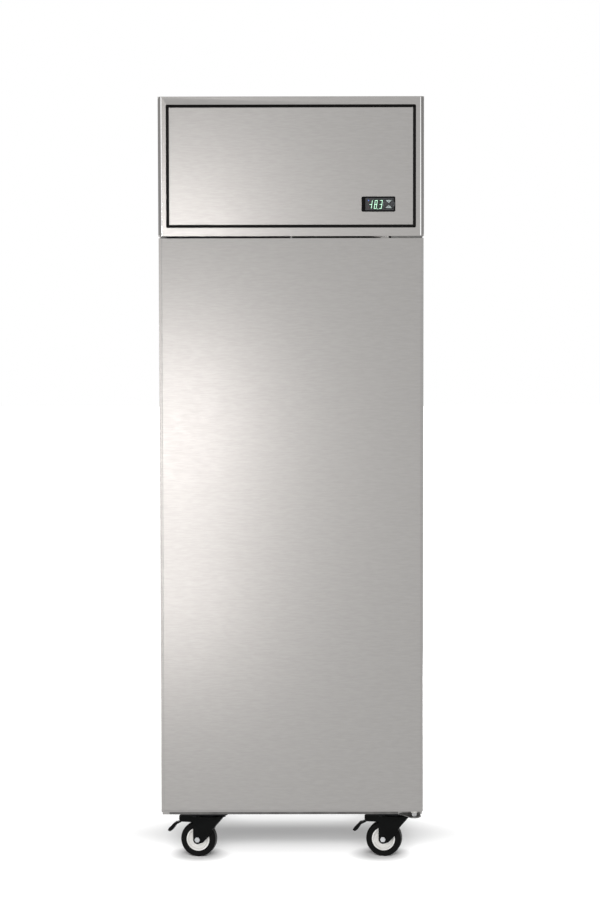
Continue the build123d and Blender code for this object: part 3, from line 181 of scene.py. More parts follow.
castorNylon = mouldedPlastic("castorNylon", "#090a0a", "#0f1010", 0.42, Specular_IOR_Level=0.06)
gripPlastic = mouldedPlastic("gripPlastic", "#17181a", "#1d1e20", 0.45)
casePlastic = mouldedPlastic("casePlastic", "#050506", "#090909", 0.3, 0.01, Specular_IOR_Level=0.08)
keyPlastic = mouldedPlastic("keyPlastic", "#a6b1b0", "#97a1a0", 0.4, 0.01)
fanPlastic = mouldedPlastic("fanPlastic", "#1c1d1f", "#232427", 0.4)
hubPlastic = mouldedPlastic("hubPlastic", "#f7f6f3", "#e6e5e1", 0.34, 0.015)
framePlastic = mouldedPlastic("framePlastic", "#d6d6d4", "#cacac7", 0.38, 0.01)
bushPlastic = mouldedPlastic("bushPlastic", "#e2e0db", "#d2d0cb", 0.35, 0.01)
boxPlastic = mouldedPlastic("boxPlastic", "#9a9ca0", "#8e9094", 0.45)
keyPrint = mouldedPlastic("keyPrint", "#3c4547", "#465052", 0.5, 0.005)
facePrint = mouldedPlastic("facePrint", "#7b8385", "#666d6f", 0.5, 0.005)


def blackRubber(name, light, dark, roughness, **sockets):
    # Vulcanised or extruded black rubber: near black, dry sheen, with a dusting that lifts it
    return makeFinish(name, light, dark, 0.0, roughness,
                      (noise, "Fac", (25, 25, 25), {"Detail": 6.0, "Roughness": 0.7}),
                      (noise, "Fac", (0.7, 0.7, 0.7), {}, 0.03), spread=0.09, **sockets)


sealRubber = blackRubber("sealRubber", "#0b0a09", "#141312", 0.5, Specular_IOR_Level=0.1)
gasketRubber = blackRubber("gasketRubber", "#3a3b3d", "#2f3032", 0.55)
tyreRubber = blackRubber("tyreRubber", "#090909", "#111111", 0.5, Specular_IOR_Level=0.08)

# Electrophoretic black paint on pressed steel: satin black with a faint orange peel
blackCoat = makeFinish("blackCoatedSteel", "#0d0e0f", "#16171a", 0.0, 0.38, (noise, "Fac", (40, 40, 40), {}),
                       (noise, "Fac", (1.4, 1.4, 1.4), {}, 0.03), Specular_IOR_Level=0.1)

# Poured polyurethane foam: cream, matt, with small cells and a darker skin in places
foam = makeFinish("rigidFoam", "#e9d9a4", "#d9c07a", 0.0, 0.9, (noise, "Fac", (80, 80, 80), {"Detail": 3.0}),
                  (cells, "Distance", (1.5, 1.5, 1.5), {}, 0.4))

# Stove-enamelled steel pressing: black, glossy, with a fine orange-peel skin
potEnamel = makeFinish("enamelledPot", "#121314", "#1c1d1f", 0.0, 0.28, (noise, "Fac", (50, 50, 50), {}),
                       (noise, "Fac", (1.6, 1.6, 1.6), {}, 0.05), Coat_Weight=0.4)

# Drawn copper tube: warm and bright, browner where it was heated and handled
copper = makeFinish("drawnCopper", "#cf855b", "#8a4a30", 1.0, 0.36,
                    (noise, "Fac", (30, 30, 30), {"Detail": 5.0}), spread=0.14)

# Rolled aluminium fin stock: pale and soft, with rolling lines up the fins
finStock = makeFinish("finAluminium", "#b9bcbe", "#cfd2d4", 1.0, 0.38, (noise, "Fac", (1.2, 1.2, 30), {}))


def litSegment(name, core, glow, strength):
    # Light-emitting diode behind a diffuser: an even light with a faintly mottled edge
    material = makeFinish(name, core, glow, 0.0, 0.5, (noise, "Fac", (1.5, 1.5, 1.5), {}))
    tree = material.node_tree
    shader = tree.nodes["Principled BSDF"]
    tree.links.new(shader.inputs["Base Color"].links[0].from_socket, shader.inputs["Emission Color"])
    shader.inputs["Emission Strength"].default_value = strength
    return material


greenLight = litSegment("greenSegment", "#cdf3dd", "#b6e6c9", 0.8)
# a dimmer green for the halo round the figures: painted glow
greenGlow = litSegment("greenPaintedHalo", "#2c7a4c", "#246840", 0.35)
blueLight = litSegment("blueLamp", "#4f77d8", "#3d5fc4", 0.55)
# the red lamps are off, yet glow faintly: painted glow
redFaintGlow = litSegment("redLampOffPaintedGlow", "#6a2a35", "#5a2230", 0.15)


def smokedWindowPaintedHalo(low, high):
    # Smoked acrylic with a matt hard coat: charcoal, an even dark sheen with fine scuffs, and a painted
    # green halo in its colour round the lit figures, which lie between low and high (x and z, millimetres)
    material = makeFinish("smokedWindowPaintedHalo", "#2c2d2f", "#37383b", 0.0, 0.26,
                          (noise, "Fac", (9, 9, 9), {"Detail": 1.0}), spread=0.02, Coat_Weight=0.2,
                          Specular_IOR_Level=0.3)
    tree = material.node_tree
    shader = tree.nodes["Principled BSDF"]
    centre = [(a + b) / 2 * mm for a, b in zip(low, high)]
    reach = [(b - a) / 2 * mm for a, b in zip(low, high)]
    place = addNode(tree, "ShaderNodeTexCoord").outputs["Object"]
    middle = addNode(tree, "ShaderNodeMapping",
                     {"Scale": (1 / reach[0], 0, 1 / reach[1]),
                      "Location": (-centre[0] / reach[0], 0, -centre[1] / reach[1])}, {0: place})
    # painted light: the window's colour turns green round the figures, as their glow would tint it
    paintedHalo = addNode(tree, "ShaderNodeTexGradient", {"gradient_type": "SPHERICAL"}, {0: middle.outputs[0]})
    soft = addNode(tree, "ShaderNodeMapRange", {"From Max": 0.45, "To Max": 0.6}, {0: paintedHalo.outputs["Fac"]})
    plain = shader.inputs["Base Color"].links[0].from_socket
    paintedHaloColour = addNode(tree, "ShaderNodeMix", {"data_type": "RGBA", 7: hexColour("#0a2013")},
                     {0: soft.outputs[0], 6: plain})
    tree.links.new(paintedHaloColour.outputs[2], shader.inputs["Base Color"])
    return material


windowAcrylic = smokedWindowPaintedHalo((218, 1812), (258, 1854))
print("materials made:", len(bpy.data.materials))


# modelling tools
def deselectAll():
    # leaves edit mode with nothing selected, and goes back to picking corners
    if bpy.context.mode != "OBJECT":
        bpy.ops.object.mode_set(mode="OBJECT")
    bpy.context.tool_settings.mesh_select_mode = (True, False, False)
    bpy.ops.object.select_all(action="DESELECT")


def takeUp(piece):
    deselectAll()
    piece.select_set(True)
    bpy.context.view_layer.objects.active = piece


def applyModifier(piece, kind, **settings):
    takeUp(piece)
    bpy.ops.object.modifier_add(type=kind)
    modifier = piece.modifiers[-1]
    for name, value in settings.items():
        setattr(modifier, name, value)
    bpy.ops.object.modifier_apply(modifier=modifier.name)


def smoothEdges(piece, angle=35):
    takeUp(piece)
    bpy.ops.object.shade_smooth_by_angle(angle=math.radians(angle))
    applyModifier(piece, "WEIGHTED_NORMAL", keep_sharp=True, weight=100)


def pick(piece, faces=None, edges=None):
    # enters edit mode with the faces or edges selected for which the test holds:
    # faces(centre, normal) or edges(oneEnd, otherEnd)
    takeUp(piece)
    bpy.ops.object.mode_set(mode="EDIT")
    bpy.context.tool_settings.mesh_select_mode = (False, edges is not None, faces is not None)
    bpy.ops.mesh.select_all(action="DESELECT")
    bpy.ops.object.mode_set(mode="OBJECT")
    for face in piece.data.polygons if faces else ():
        face.select = bool(faces(face.center, face.normal))
    for edge in piece.data.edges if edges else ():
        edge.select = bool(edges(*(piece.data.vertices[i].co for i in edge.vertices)))
    bpy.ops.object.mode_set(mode="EDIT")


def extrude(move):
    bpy.ops.mesh.extrude_region_move(TRANSFORM_OT_translate={"value": move})


def repeatPiece(piece, count, step):
    # count of the piece in a row, each moved by step millimetres from the one before
    applyModifier(piece, "ARRAY", count=count, use_relative_offset=False, use_constant_offset=True,
                  constant_offset_displace=[s * mm for s in step])


def closeSkin(piece, merge=0.002):
    # joins doubled corners, fills open ends and turns every face outwards
    takeUp(piece)
    bpy.ops.object.mode_set(mode="EDIT")
    bpy.ops.mesh.select_all(action="SELECT")
    bpy.ops.mesh.remove_doubles(threshold=merge * mm)
    bpy.ops.mesh.fill_holes(sides=0)
    bpy.ops.mesh.normals_make_consistent(inside=False)
    bpy.ops.object.mode_set(mode="OBJECT")


def settle(piece):
    # puts the object at the origin, unturned and unscaled, with its place in its mesh
    takeUp(piece)
    bpy.ops.object.transform_apply(location=True, rotation=True, scale=True)


def startBlock(low, high):
    # a cube stretched between two corners, in millimetres
    middle = [(a + b) / 2 * mm for a, b in zip(low, high)]
    deselectAll()
    bpy.ops.mesh.primitive_cube_add(size=1, location=middle)
    block = bpy.context.active_object
    block.scale = [(b - a) * mm for a, b in zip(low, high)]
    settle(block)
    return block


def copyOf(piece, move):
    # a second piece with its own mesh, moved by millimetres
    takeUp(piece)
    bpy.ops.object.duplicate()
    twin = bpy.context.active_object
    twin.location = [m * mm for m in move]
    settle(twin)
    return twin


def joinPieces(parts):
    deselectAll()
    for part in parts:
        part.select_set(True)
    bpy.context.view_layer.objects.active = parts[0]
    bpy.ops.object.join()
    return parts[0]


def bentBar(points, radius, bend=0.0, sides=10, closed=False, stepTurn=22):
    # a round bar or tube along straight runs through points, its middle line bent to radius bend
    # in steps of about stepTurn degrees
    points = [Vector(point) * mm for point in points]
    heading = (points[1] - points[0]).normalized()
    deselectAll()
    bpy.ops.mesh.primitive_circle_add(vertices=sides, radius=radius * mm, fill_type="NOTHING",
                                      location=points[0], rotation=heading.to_track_quat("Z", "Y").to_euler())
    bar = bpy.context.active_object
    settle(bar)
    bpy.ops.object.mode_set(mode="EDIT")
    bpy.ops.mesh.select_all(action="SELECT")
    spot = points[0]
    for corner, after in zip(points[1:], points[2:]):
        leaving = (after - corner).normalized()
        turn = heading.angle(leaving)
        axis = heading.cross(leaving).normalized()
        setback = bend * mm * math.tan(turn / 2)
        bendStart = corner - heading * setback
        if (bendStart - spot).length > 0.01 * mm:
            extrude(bendStart - spot)
        steps = max(2, round(math.degrees(turn) / stepTurn))
        pivot = bendStart + axis.cross(heading) * bend * mm
        bpy.ops.mesh.spin(steps=steps, angle=-turn, center=pivot, axis=axis)
        spot = corner + leaving * setback
        heading = leaving
    extrude(points[-1] - spot)
    bpy.ops.object.mode_set(mode="OBJECT")
    closeSkin(bar, 0.02 if closed else 0.002)
    return bar


def bodyOf(nodeName):
    return next(body for body, names in frame["record"]["behaviour"]["bodies"].items() if nodeName in names)


def hand(piece, name, body, material, nodes=()):
    # names a finished piece, dresses it, and lets it ride on its body
    settle(piece)
    piece.name = name
    piece.data.name = name
    piece.data.materials.clear()
    piece.data.materials.append(material)
    if nodes:
        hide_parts(*nodes)
    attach(piece, body)
    return piece


def secondMaterial(piece, material, test):
    # gives the faces for which test(centre, normal) holds another material
    piece.data.materials.append(material)
    for face in piece.data.polygons:
        if test(face.center, face.normal):
            face.material_index = len(piece.data.materials) - 1


def softened(nodeName, material, width, segments=2, angle=30, smooth=35, folds=None, foldWidth=1.5):
    # stands for a CAD node with its sharp edges rounded over width millimetres, as folds, casts and
    # cuts are; folds(oneEnd, otherEnd) picks edges that are rounded more, over foldWidth
    source = frame["nodes"][nodeName]
    piece = source.copy()
    piece.data = source.data.copy()
    for key in list(piece.keys()):
        del piece[key]
    piece.parent = None
    bpy.context.scene.collection.objects.link(piece)
    takeUp(piece)
    bpy.ops.object.mode_set(mode="EDIT")
    bpy.ops.mesh.select_all(action="SELECT")
    bpy.ops.mesh.remove_doubles(threshold=0.002 * mm)
    bpy.ops.mesh.dissolve_limited(angle_limit=math.radians(0.4))
    bpy.ops.mesh.quads_convert_to_tris(quad_method="BEAUTY", ngon_method="BEAUTY")
    bpy.ops.object.mode_set(mode="OBJECT")
    if folds:
        pick(piece, edges=folds)
        bpy.ops.mesh.bevel(offset=foldWidth * mm, segments=4, clamp_overlap=False, loop_slide=False)
        bpy.ops.object.mode_set(mode="OBJECT")
    applyModifier(piece, "BEVEL", width=width * mm, segments=segments, limit_method="ANGLE",
                  angle_limit=math.radians(angle), use_clamp_overlap=True, loop_slide=False,
                  miter_outer="MITER_ARC")
    smoothEdges(piece, smooth)
    words = nodeName.split("_")
    name = words[0] + "".join(word.capitalize() for word in words[1:]) + "Shaped"
    return hand(piece, name, bodyOf(nodeName), material, [nodeName])


# sheet metal
def outerFront(low, high, depth, opening=None):
    # picks the long edges on the outside of a folded front: within depth of its face
    def test(one, other):
        for point in (one, other):
            x, y, z = point / mm
            outside = y < low[1] + 0.1 or abs(x) > high[0] - 0.1 or z > high[2] - 0.1 or z < low[2] + 0.1
            inOpening = opening and abs(x) < opening[0] and opening[1] < z < opening[2]
            if y > low[1] + depth or not outside or inOpening:
                return False
        return (one - other).length > 30 * mm
    return test


def onFasciaFoldHighlight(centre, normal):
    # a face on the fold down either side of the fascia's front, or along its bottom edge: painted highlight
    upright = 0.06 < abs(normal.x) < 0.44 and abs(normal.z) < 0.1 and abs(centre.x) > 0.352
    level = -0.8 < normal.z < -0.15 and 1.7463 < centre.z < 1.75
    return centre.y < -0.4155 and (upright or level)


doorFront = outerFront((-364, -417, 148), (364, 0, 1741), 4.6)
fasciaFront = outerFront((-365, -417, 1746.5), (365, 0, 2128), 4.6, (350, 1760, 2112))
softened("door_skin", steelSkin, 0.35, 2, folds=doorFront, foldWidth=1.6)
fascia = softened("fascia_frame", steelSkin, 0.35, 2, folds=fasciaFront, foldWidth=2.0)
# the folds take the near-white steel: a painted highlight along them
secondMaterial(fascia, foldHighlightSteel, onFasciaFoldHighlight)
panel = softened("service_panel", steelSkin, 0.35, 2)
# the panel's top edge is black like the seal it closes on: painted shade in the gap along the top
secondMaterial(panel, sealRubber, lambda centre, normal: centre.z > 2.0985)
sheetFolds = {
    "left_side_panel": (steelSkin, 0.5, 2),
    "right_side_panel": (steelSkin, 0.5, 2),
    # the base pan takes the darker steel: painted shade under the door
    "base_pan": (shadedBaseSteel, 0.5, 2),
    "door_liner": (steelLiner, 0.5, 2),
    "inner_liner": (steelLiner, 0.5, 2),
    "evaporator_cover": (steelLiner, 0.3, 2),
    "pilasters": (steelLiner, 0.12, 1),
    "shelf_runners": (steelLiner, 0.4, 2),
    "rear_panel": (zincSheet, 0.3, 1),
    "machine_deck": (zincSheet, 0.3, 1),
    "machine_cover": (zincSheet, 0.3, 1),
    "fan_shroud": (zincSheet, 0.5, 2),
    "hinge_brackets": (hingeSteel, 0.6, 2),
    "castor_plates": (blackCoat, 0.6, 2),
}
for nodeName, (material, width, segments) in sheetFolds.items():
    softened(nodeName, material, width, segments)
print("sheet metal folded")

# moulded and cast pieces
mouldings = {
    "face_frame": (framePlastic, 1.0, 3),
    "grip_insert": (gripPlastic, 0.8, 3),
    "panel_seal": (sealRubber, 1.2, 3),
    "controller_case": (casePlastic, 0.3, 2),
    "controller_window": (windowAcrylic, 0.2, 2),
    "electrical_box": (boxPlastic, 0.8, 2),
    "cable_gland": (gripPlastic, 0.5, 2),
    "fan_motors": (potEnamel, 0.6, 2),
    "compressor": (potEnamel, 1.0, 2),
    "condenser_fan_blade": (fanPlastic, 0.4, 2),
    "evaporator_fan_blade": (fanPlastic, 0.4, 2),
    "castor_bolts": (blackCoat, 0.5, 2),
    "hinge_bushes": (bushPlastic, 0.6, 2),
}
for nodeName, (material, width, segments) in mouldings.items():
    softened(nodeName, material, width, segments)
pins = softened("hinge_pins", pinSteel, 0.4, 2)
# the pins of the service panel, at the top, are black as well: painted shade in the same gap
secondMaterial(pins, sealRubber, lambda centre, normal: centre.z > 2.05)
for place in castors:
    softened(f"{place}_fork", castorNylon, 1.2, 3)
    softened(f"{place}_hub", hubPlastic, 0.8, 2)
    softened(f"{place}_tyre", tyreRubber, 0.5, 2, smooth=50)
    softened(f"{place}_axle_bolt", zincPlate, 0.5, 2)
    if place.startswith("front"):
        softened(f"{place}_brake_pedal", castorNylon, 1.0, 3)
# the foam reaches the front beside the face frame, under a strip of the frame's plastic
cabinetFoam = softened("cabinet_insulation", foam, 0.3, 1)
secondMaterial(cabinetFoam, framePlastic, lambda centre, normal: centre.y < -0.3 and normal.y < -0.9)
for nodeName, material in {"door_insulation": foam, "refrigerant_lines": copper}.items():
    node = frame["nodes"][nodeName]
    node.data.materials.clear()
    node.data.materials.append(material)
print("mouldings and castings rounded")

# keys: each has a small printed arrow, and the pair stands between two printed arcs
keyMarks = {
    "centre": (268.0, 1833.75),
    "arrowRise": 6.2,
    "arrowSize": 2.3,
    "border": 0.5,
    "arcRadius": 15.6,
    "arcWidth": 1.0,
    "arcHalfTurn": 26,
    "keyFace": -420.68,
    "windowFace": -420.0,
    "thick": 0.1,
    "backGap": 0.03,
}
keyCentre = Vector((keyMarks["centre"][0], 0, keyMarks["centre"][1])) * mm


def printedMark(mark, name, body, face, material):
    # gives a flat outline its thickness against the face it is printed on
    applyModifier(mark, "SOLIDIFY", thickness=keyMarks["thick"] * mm, offset=0)
    mark.location.y = face * mm
    hand(mark, name, body, material)


for name, up in (("upper_key", 1), ("lower_key", -1)):
    key = softened(name, casePlastic, 0.15, 1)
    # its back stays a hair off the pocket's floor when the key is pressed home
    pick(key, faces=lambda centre, normal: normal.y > 0.99)
    bpy.ops.transform.translate(value=(0, -keyMarks["backGap"] * mm, 0))
    pick(key, faces=lambda centre, normal: normal.y < -0.99)
    bpy.ops.mesh.inset(thickness=keyMarks["border"] * mm)
    key.data.materials.append(keyPlastic)
    key.active_material_index = 1
    bpy.ops.object.material_slot_assign()
    deselectAll()
    bpy.ops.mesh.primitive_circle_add(vertices=3, radius=keyMarks["arrowSize"] * mm, fill_type="NGON",
                                      rotation=(math.pi / 2, 0 if up > 0 else math.pi, 0),
                                      location=keyCentre + Vector((0, 0, up * keyMarks["arrowRise"] * mm)))
    arrow = bpy.context.active_object
    settle(arrow)
    arrowName = "upArrow" if up > 0 else "downArrow"
    printedMark(arrow, arrowName, name, keyMarks["keyFace"], keyPrint)
for side, name in ((-1, "leftArc"), (1, "rightArc")):
    radius = keyMarks["arcRadius"]
    reach = radius * math.cos(math.radians(keyMarks["arcHalfTurn"])) * mm
    deselectAll()
    bpy.ops.mesh.primitive_circle_add(vertices=72, radius=radius * mm, rotation=(math.pi / 2, 0, 0),
                                      location=keyCentre)
    arc = bpy.context.active_object
    settle(arc)
    pick(arc, edges=lambda one, other: min((p.x - keyCentre.x) * side for p in (one, other)) < reach)
    bpy.ops.mesh.delete(type="EDGE")
    bpy.ops.mesh.select_all(action="SELECT")
    extrude((0, 0, 0))
    growth = 1 - keyMarks["arcWidth"] / radius
    bpy.ops.transform.resize(value=(growth, 1, growth), center_override=keyCentre)
    bpy.ops.object.mode_set(mode="OBJECT")
    printedMark(arc, name, "service_panel", keyMarks["windowFace"], facePrint)
print("keys marked")

# display
display = {
    "baseline": 1821.7,
    "height": 21.8,
    "width": 5.7,
    "core": 1.3,
    "paintedHalo": 2.0,
    "barOverlap": 0.6,
    "slant": 8.0,
    "face": -420.0,
    "figures": {"one": (214.3, "bc"), "eight": (228.0, "abcdefg"), "three": (241.9, "abcdg"),
                "minus": (214.0, "g")},
    "point": (238.3, 1820.5, 1.3),
    "lamps": {"lampBlue": (212.6, 1843.9, 1.4), "lampRedUpper": (212.0, 1836.8, 0.9),
              "lampRedLower": (213.4, 1824.5, 0.9)},
    "lampDepth": 0.12,
    "lampLift": 0.04,
    "lampRim": 0.4,
    "lampDome": 0.06,
}


def barPiece(x, z, length, upright, thick, depth):
    # one bar of a seven-bar figure: a flat block with pointed ends
    half = (length - thick) / 2
    bar = startBlock((-half, -depth, -thick / 2), (half, 0, thick / 2))
    for side in (-1, 1):
        pick(bar, faces=lambda centre, normal: normal.x * side > 0.9)
        extrude((side * thick / 2 * mm, 0, 0))
        bpy.ops.transform.resize(value=(1, 1, 0.2))
        bpy.ops.object.mode_set(mode="OBJECT")
    if upright:
        bar.rotation_euler.y = math.pi / 2
    bar.location = (x * mm, 0, z * mm)
    settle(bar)
    return bar


def figureSet(name, thick, depth, material):
    # all figures in one mesh, slanted, standing on the window
    high, wide = display["height"], display["width"]
    places = {
        "a": (wide / 2, high, False), "g": (wide / 2, high / 2, False), "d": (wide / 2, 0, False),
        "b": (wide, 0.75 * high, True), "c": (wide, 0.25 * high, True),
        "f": (0, 0.75 * high, True), "e": (0, 0.25 * high, True),
    }
    bars = []
    for figure, (left, letters) in display["figures"].items():
        for letter in letters:
            x, z, upright = places[letter]
            length = high / 2 if upright else wide
            bars.append(barPiece(left + x, z, length + thick * display["barOverlap"], upright, thick, depth))
    # the point is round, and its painted halo is wider by as much as that of a bar
    pointX, pointZ, pointRadius = display["point"]
    pointPlace = (pointX * mm, -depth / 2 * mm, (pointZ - display["baseline"]) * mm)
    deselectAll()
    bpy.ops.mesh.primitive_cylinder_add(vertices=16, radius=(pointRadius + thick / 2 - 1) * mm,
                                        depth=depth * mm, rotation=(math.pi / 2, 0, 0), location=pointPlace)
    bars.append(bpy.context.active_object)
    settle(bars[-1])
    figures = joinPieces(bars)
    lean = math.tan(math.radians(display["slant"]))
    for corner in figures.data.vertices:
        corner.co.x += lean * corner.co.z
    figures.location = (0, display["face"] * mm, display["baseline"] * mm)
    hand(figures, name, "service_panel", material)


# a wider, dimmer glowing copy behind the figures: a painted halo of their light in the window
figureSet("displayPaintedHalo", display["paintedHalo"], 0.06, greenGlow)
figureSet("displayFigures", display["core"], 0.12, greenLight)
for name, (x, z, radius) in display["lamps"].items():
    # a small round lamp behind the window, domed by an inset face
    y = display["face"] - display["lampLift"]
    deselectAll()
    bpy.ops.mesh.primitive_cylinder_add(vertices=20, radius=radius * mm, depth=display["lampDepth"] * mm,
                                        rotation=(math.pi / 2, 0, 0), location=(x * mm, y * mm, z * mm))
    lamp = bpy.context.active_object
    settle(lamp)
    pick(lamp, faces=lambda centre, normal: normal.y < -0.9)
    bpy.ops.mesh.inset(thickness=radius * display["lampRim"] * mm)
    bpy.ops.transform.translate(value=(0, -display["lampDome"] * mm, 0))
    bpy.ops.object.mode_set(mode="OBJECT")
    hand(lamp, name, "service_panel", blueLight if name == "lampBlue" else redFaintGlow)
print("display made")

# door gasket: a bellows swept round the door, from points (distance in from its outer edge, y) that
# go from the door to the flat magnet strip that meets the cabinet, and back
gasket = {
    "outer": (328, 755),
    "middleZ": 929,
    "profile": (
        (6, -355), (3, -354), (0.8, -351.5), (3.2, -349.5), (0.6, -347.5), (0, -345.5), (0.8, -343.6),
        (8, -343.32), (19, -343.6), (20, -345.6), (16.5, -347), (19.2, -349.3), (16, -351.5), (14, -354),
        (14, -355),
    ),
}
halfWide, halfHigh = gasket["outer"]
deselectAll()
bpy.ops.mesh.primitive_plane_add(size=1, rotation=(math.pi / 2, 0, 0))
ring = bpy.context.active_object
inset, y = gasket["profile"][0]
ring.scale = (2 * (halfWide - inset) * mm, 2 * (halfHigh - inset) * mm, 1)
ring.location = (0, y * mm, gasket["middleZ"] * mm)
settle(ring)
bpy.ops.object.mode_set(mode="EDIT")
bpy.ops.mesh.select_all(action="SELECT")
bpy.ops.mesh.delete(type="ONLY_FACE")
bpy.ops.mesh.select_all(action="SELECT")
for nextInset, nextY in gasket["profile"][1:]:
    extrude((0, (nextY - y) * mm, 0))
    growth = ((halfWide - nextInset) / (halfWide - inset), 1, (halfHigh - nextInset) / (halfHigh - inset))
    bpy.ops.transform.resize(value=growth, center_override=(0, nextY * mm, gasket["middleZ"] * mm))
    inset, y = nextInset, nextY
bpy.ops.object.mode_set(mode="OBJECT")
openEnd = (gasket["profile"][0][1] + 0.01) * mm
pick(ring, edges=lambda one, other: max(one.y, other.y) < openEnd)
bpy.ops.mesh.bridge_edge_loops()
bpy.ops.object.mode_set(mode="OBJECT")
closeSkin(ring)
smoothEdges(ring, 50)
hand(ring, "gasketBellows", "door", gasketRubber, ["door_gasket"])
print("gasket made")

# wire shelves: a round rim and two cross bars, with straight wires welded on top
shelf = {
    "halfWide": 262,
    "depth": (-302, 342),
    "rimZ": 473.0,
    "rimRadius": 2.95,
    "cornerBend": 12,
    "barRadius": 2.6,
    "barDrop": 0.2,
    "wires": 23,
    "wirePitch": 21.33,
    "wireRadius": 1.5,
    "wireZ": 474.4,
    "spacing": 320,
}
wide, (frontY, backY), z = shelf["halfWide"], shelf["depth"], shelf["rimZ"]
rim = bentBar([(0, frontY, z), (wide, frontY, z), (wide, backY, z), (-wide, backY, z), (-wide, frontY, z),
               (0, frontY, z)], shelf["rimRadius"], shelf["cornerBend"], 12, closed=True)
barZ = z - shelf["barDrop"]
crossBars = [bentBar([(-wide, y, barZ), (wide, y, barZ)], shelf["barRadius"])
             for y in (frontY + (backY - frontY) / 3, frontY + (backY - frontY) * 2 / 3)]
firstX = -shelf["wirePitch"] * (shelf["wires"] - 1) / 2
wireEnds = [(firstX, y, shelf["wireZ"]) for y in (frontY, backY)]
wire = bentBar(wireEnds, shelf["wireRadius"], sides=8)
repeatPiece(wire, shelf["wires"], (shelf["wirePitch"], 0, 0))
rack = joinPieces([rim, *crossBars, wire])
takeUp(rack)
bpy.ops.object.shade_smooth_by_angle(angle=math.radians(60))
racks = [rack] + [copyOf(rack, (0, 0, shelf["spacing"] * step)) for step in (1, 2)]
for number, rack in enumerate(racks, 1):
    node = f"wire_shelf_{number}"
    hand(rack, f"roundWireShelf{number}", bodyOf(node), wireNickel, [node])
print("shelves made")

# coils: pressed aluminium fins on copper tube that goes back and forth, between two steel end plates
coils = {
    "condenser_coil": {"name": "condenser", "pitch": 3.0, "rows": 8, "firstRow": 1765, "rowPitch": 20.43,
                       "columns": (-263, -243, -223), "open": -243, "tube": 4.0},
    "evaporator_coil": {"name": "evaporator", "pitch": 6.0, "rows": 5, "firstRow": 1560, "rowPitch": 20.5,
                        "columns": (210, 235, 260, 285, 310), "open": None, "tube": 4.5},
}
endInset = 16
finShape = {"strips": 6, "shortfall": 8, "ridge": 0.8, "thick": 0.2}
plateShape = {"halfThick": 0.5, "lip": 1.2, "flange": 11, "edge": 0.3}
for nodeName, coil in coils.items():
    low, high = [[c / mm for c in corner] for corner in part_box(nodeName)]
    # one fin, folded in low ridges along its depth
    strip = (high[1] - low[1]) / finShape["strips"]
    deselectAll()
    bpy.ops.mesh.primitive_plane_add(size=1, rotation=(math.pi / 2, 0, math.pi / 2))
    fin = bpy.context.active_object
    fin.scale = (strip * mm, (high[2] - low[2] - finShape["shortfall"]) * mm, 1)
    fin.location = ((low[0] + endInset + coil["pitch"]) * mm, (low[1] + strip / 2) * mm,
                    (low[2] + high[2]) / 2 * mm)
    settle(fin)
    pick(fin, edges=lambda one, other: min(one.y, other.y) > (low[1] + strip / 2) * mm)
    for step in range(1, finShape["strips"]):
        extrude(((finShape["ridge"] if step % 2 else -finShape["ridge"]) * mm, strip * mm, 0))
    bpy.ops.object.mode_set(mode="OBJECT")
    applyModifier(fin, "SOLIDIFY", thickness=finShape["thick"] * mm, offset=0)
    count = int((high[0] - low[0] - 2 * endInset) / coil["pitch"]) - 1
    repeatPiece(fin, count, (coil["pitch"], 0, 0))
    hand(fin, coil["name"] + "Fins", "cabinet", finStock, [nodeName])
    # end plates with their edges turned outwards
    plates = []
    for side in (-1, 1):
        x = low[0] + endInset if side < 0 else high[0] - endInset
        half = plateShape["halfThick"]
        plate = startBlock((x - half, low[1], low[2] + half), (x + half, high[1], high[2] - half))
        pick(plate, faces=lambda centre, normal: normal.x * side > 0.9)
        bpy.ops.mesh.inset(thickness=plateShape["lip"] * mm)
        bpy.ops.object.mode_set(mode="OBJECT")
        pick(plate, faces=lambda centre, normal: normal.x * side > 0.9 and (
            abs(centre.y - low[1] * mm) < mm or abs(centre.y - high[1] * mm) < mm))
        extrude((side * plateShape["flange"] * mm, 0, 0))
        bpy.ops.object.mode_set(mode="OBJECT")
        applyModifier(plate, "BEVEL", width=plateShape["edge"] * mm, segments=1, limit_method="ANGLE")
        plates.append(plate)
    endPlates = joinPieces(plates)
    smoothEdges(endPlates)
    hand(endPlates, coil["name"] + "EndPlates", "cabinet", zincSheet)
    # tube runs with a return bend outside the end plates
    runs = []
    bend = coil["rowPitch"] / 2
    leftTurn, rightTurn = low[0] + endInset - 2, high[0] - endInset + 2
    for y in coil["columns"]:
        start = low[0] if y == coil["open"] else low[0] + endInset
        points = [(start, y, coil["firstRow"])]
        for row in range(coil["rows"] - 1):
            x = rightTurn + bend if row % 2 == 0 else leftTurn - bend
            points += [(x, y, coil["firstRow"] + (row + end) * coil["rowPitch"]) for end in (0, 1)]
        last = start if coil["rows"] % 2 == 0 else high[0] - endInset
        points.append((last, y, coil["firstRow"] + (coil["rows"] - 1) * coil["rowPitch"]))
        runs.append(bentBar(points, coil["tube"], bend - 0.01, sides=8))
    tubes = joinPieces(runs)
    takeUp(tubes)
    bpy.ops.object.shade_smooth_by_angle(angle=math.radians(60))
    hand(tubes, coil["name"] + "Tubes", "cabinet", copper)
print("coils made")

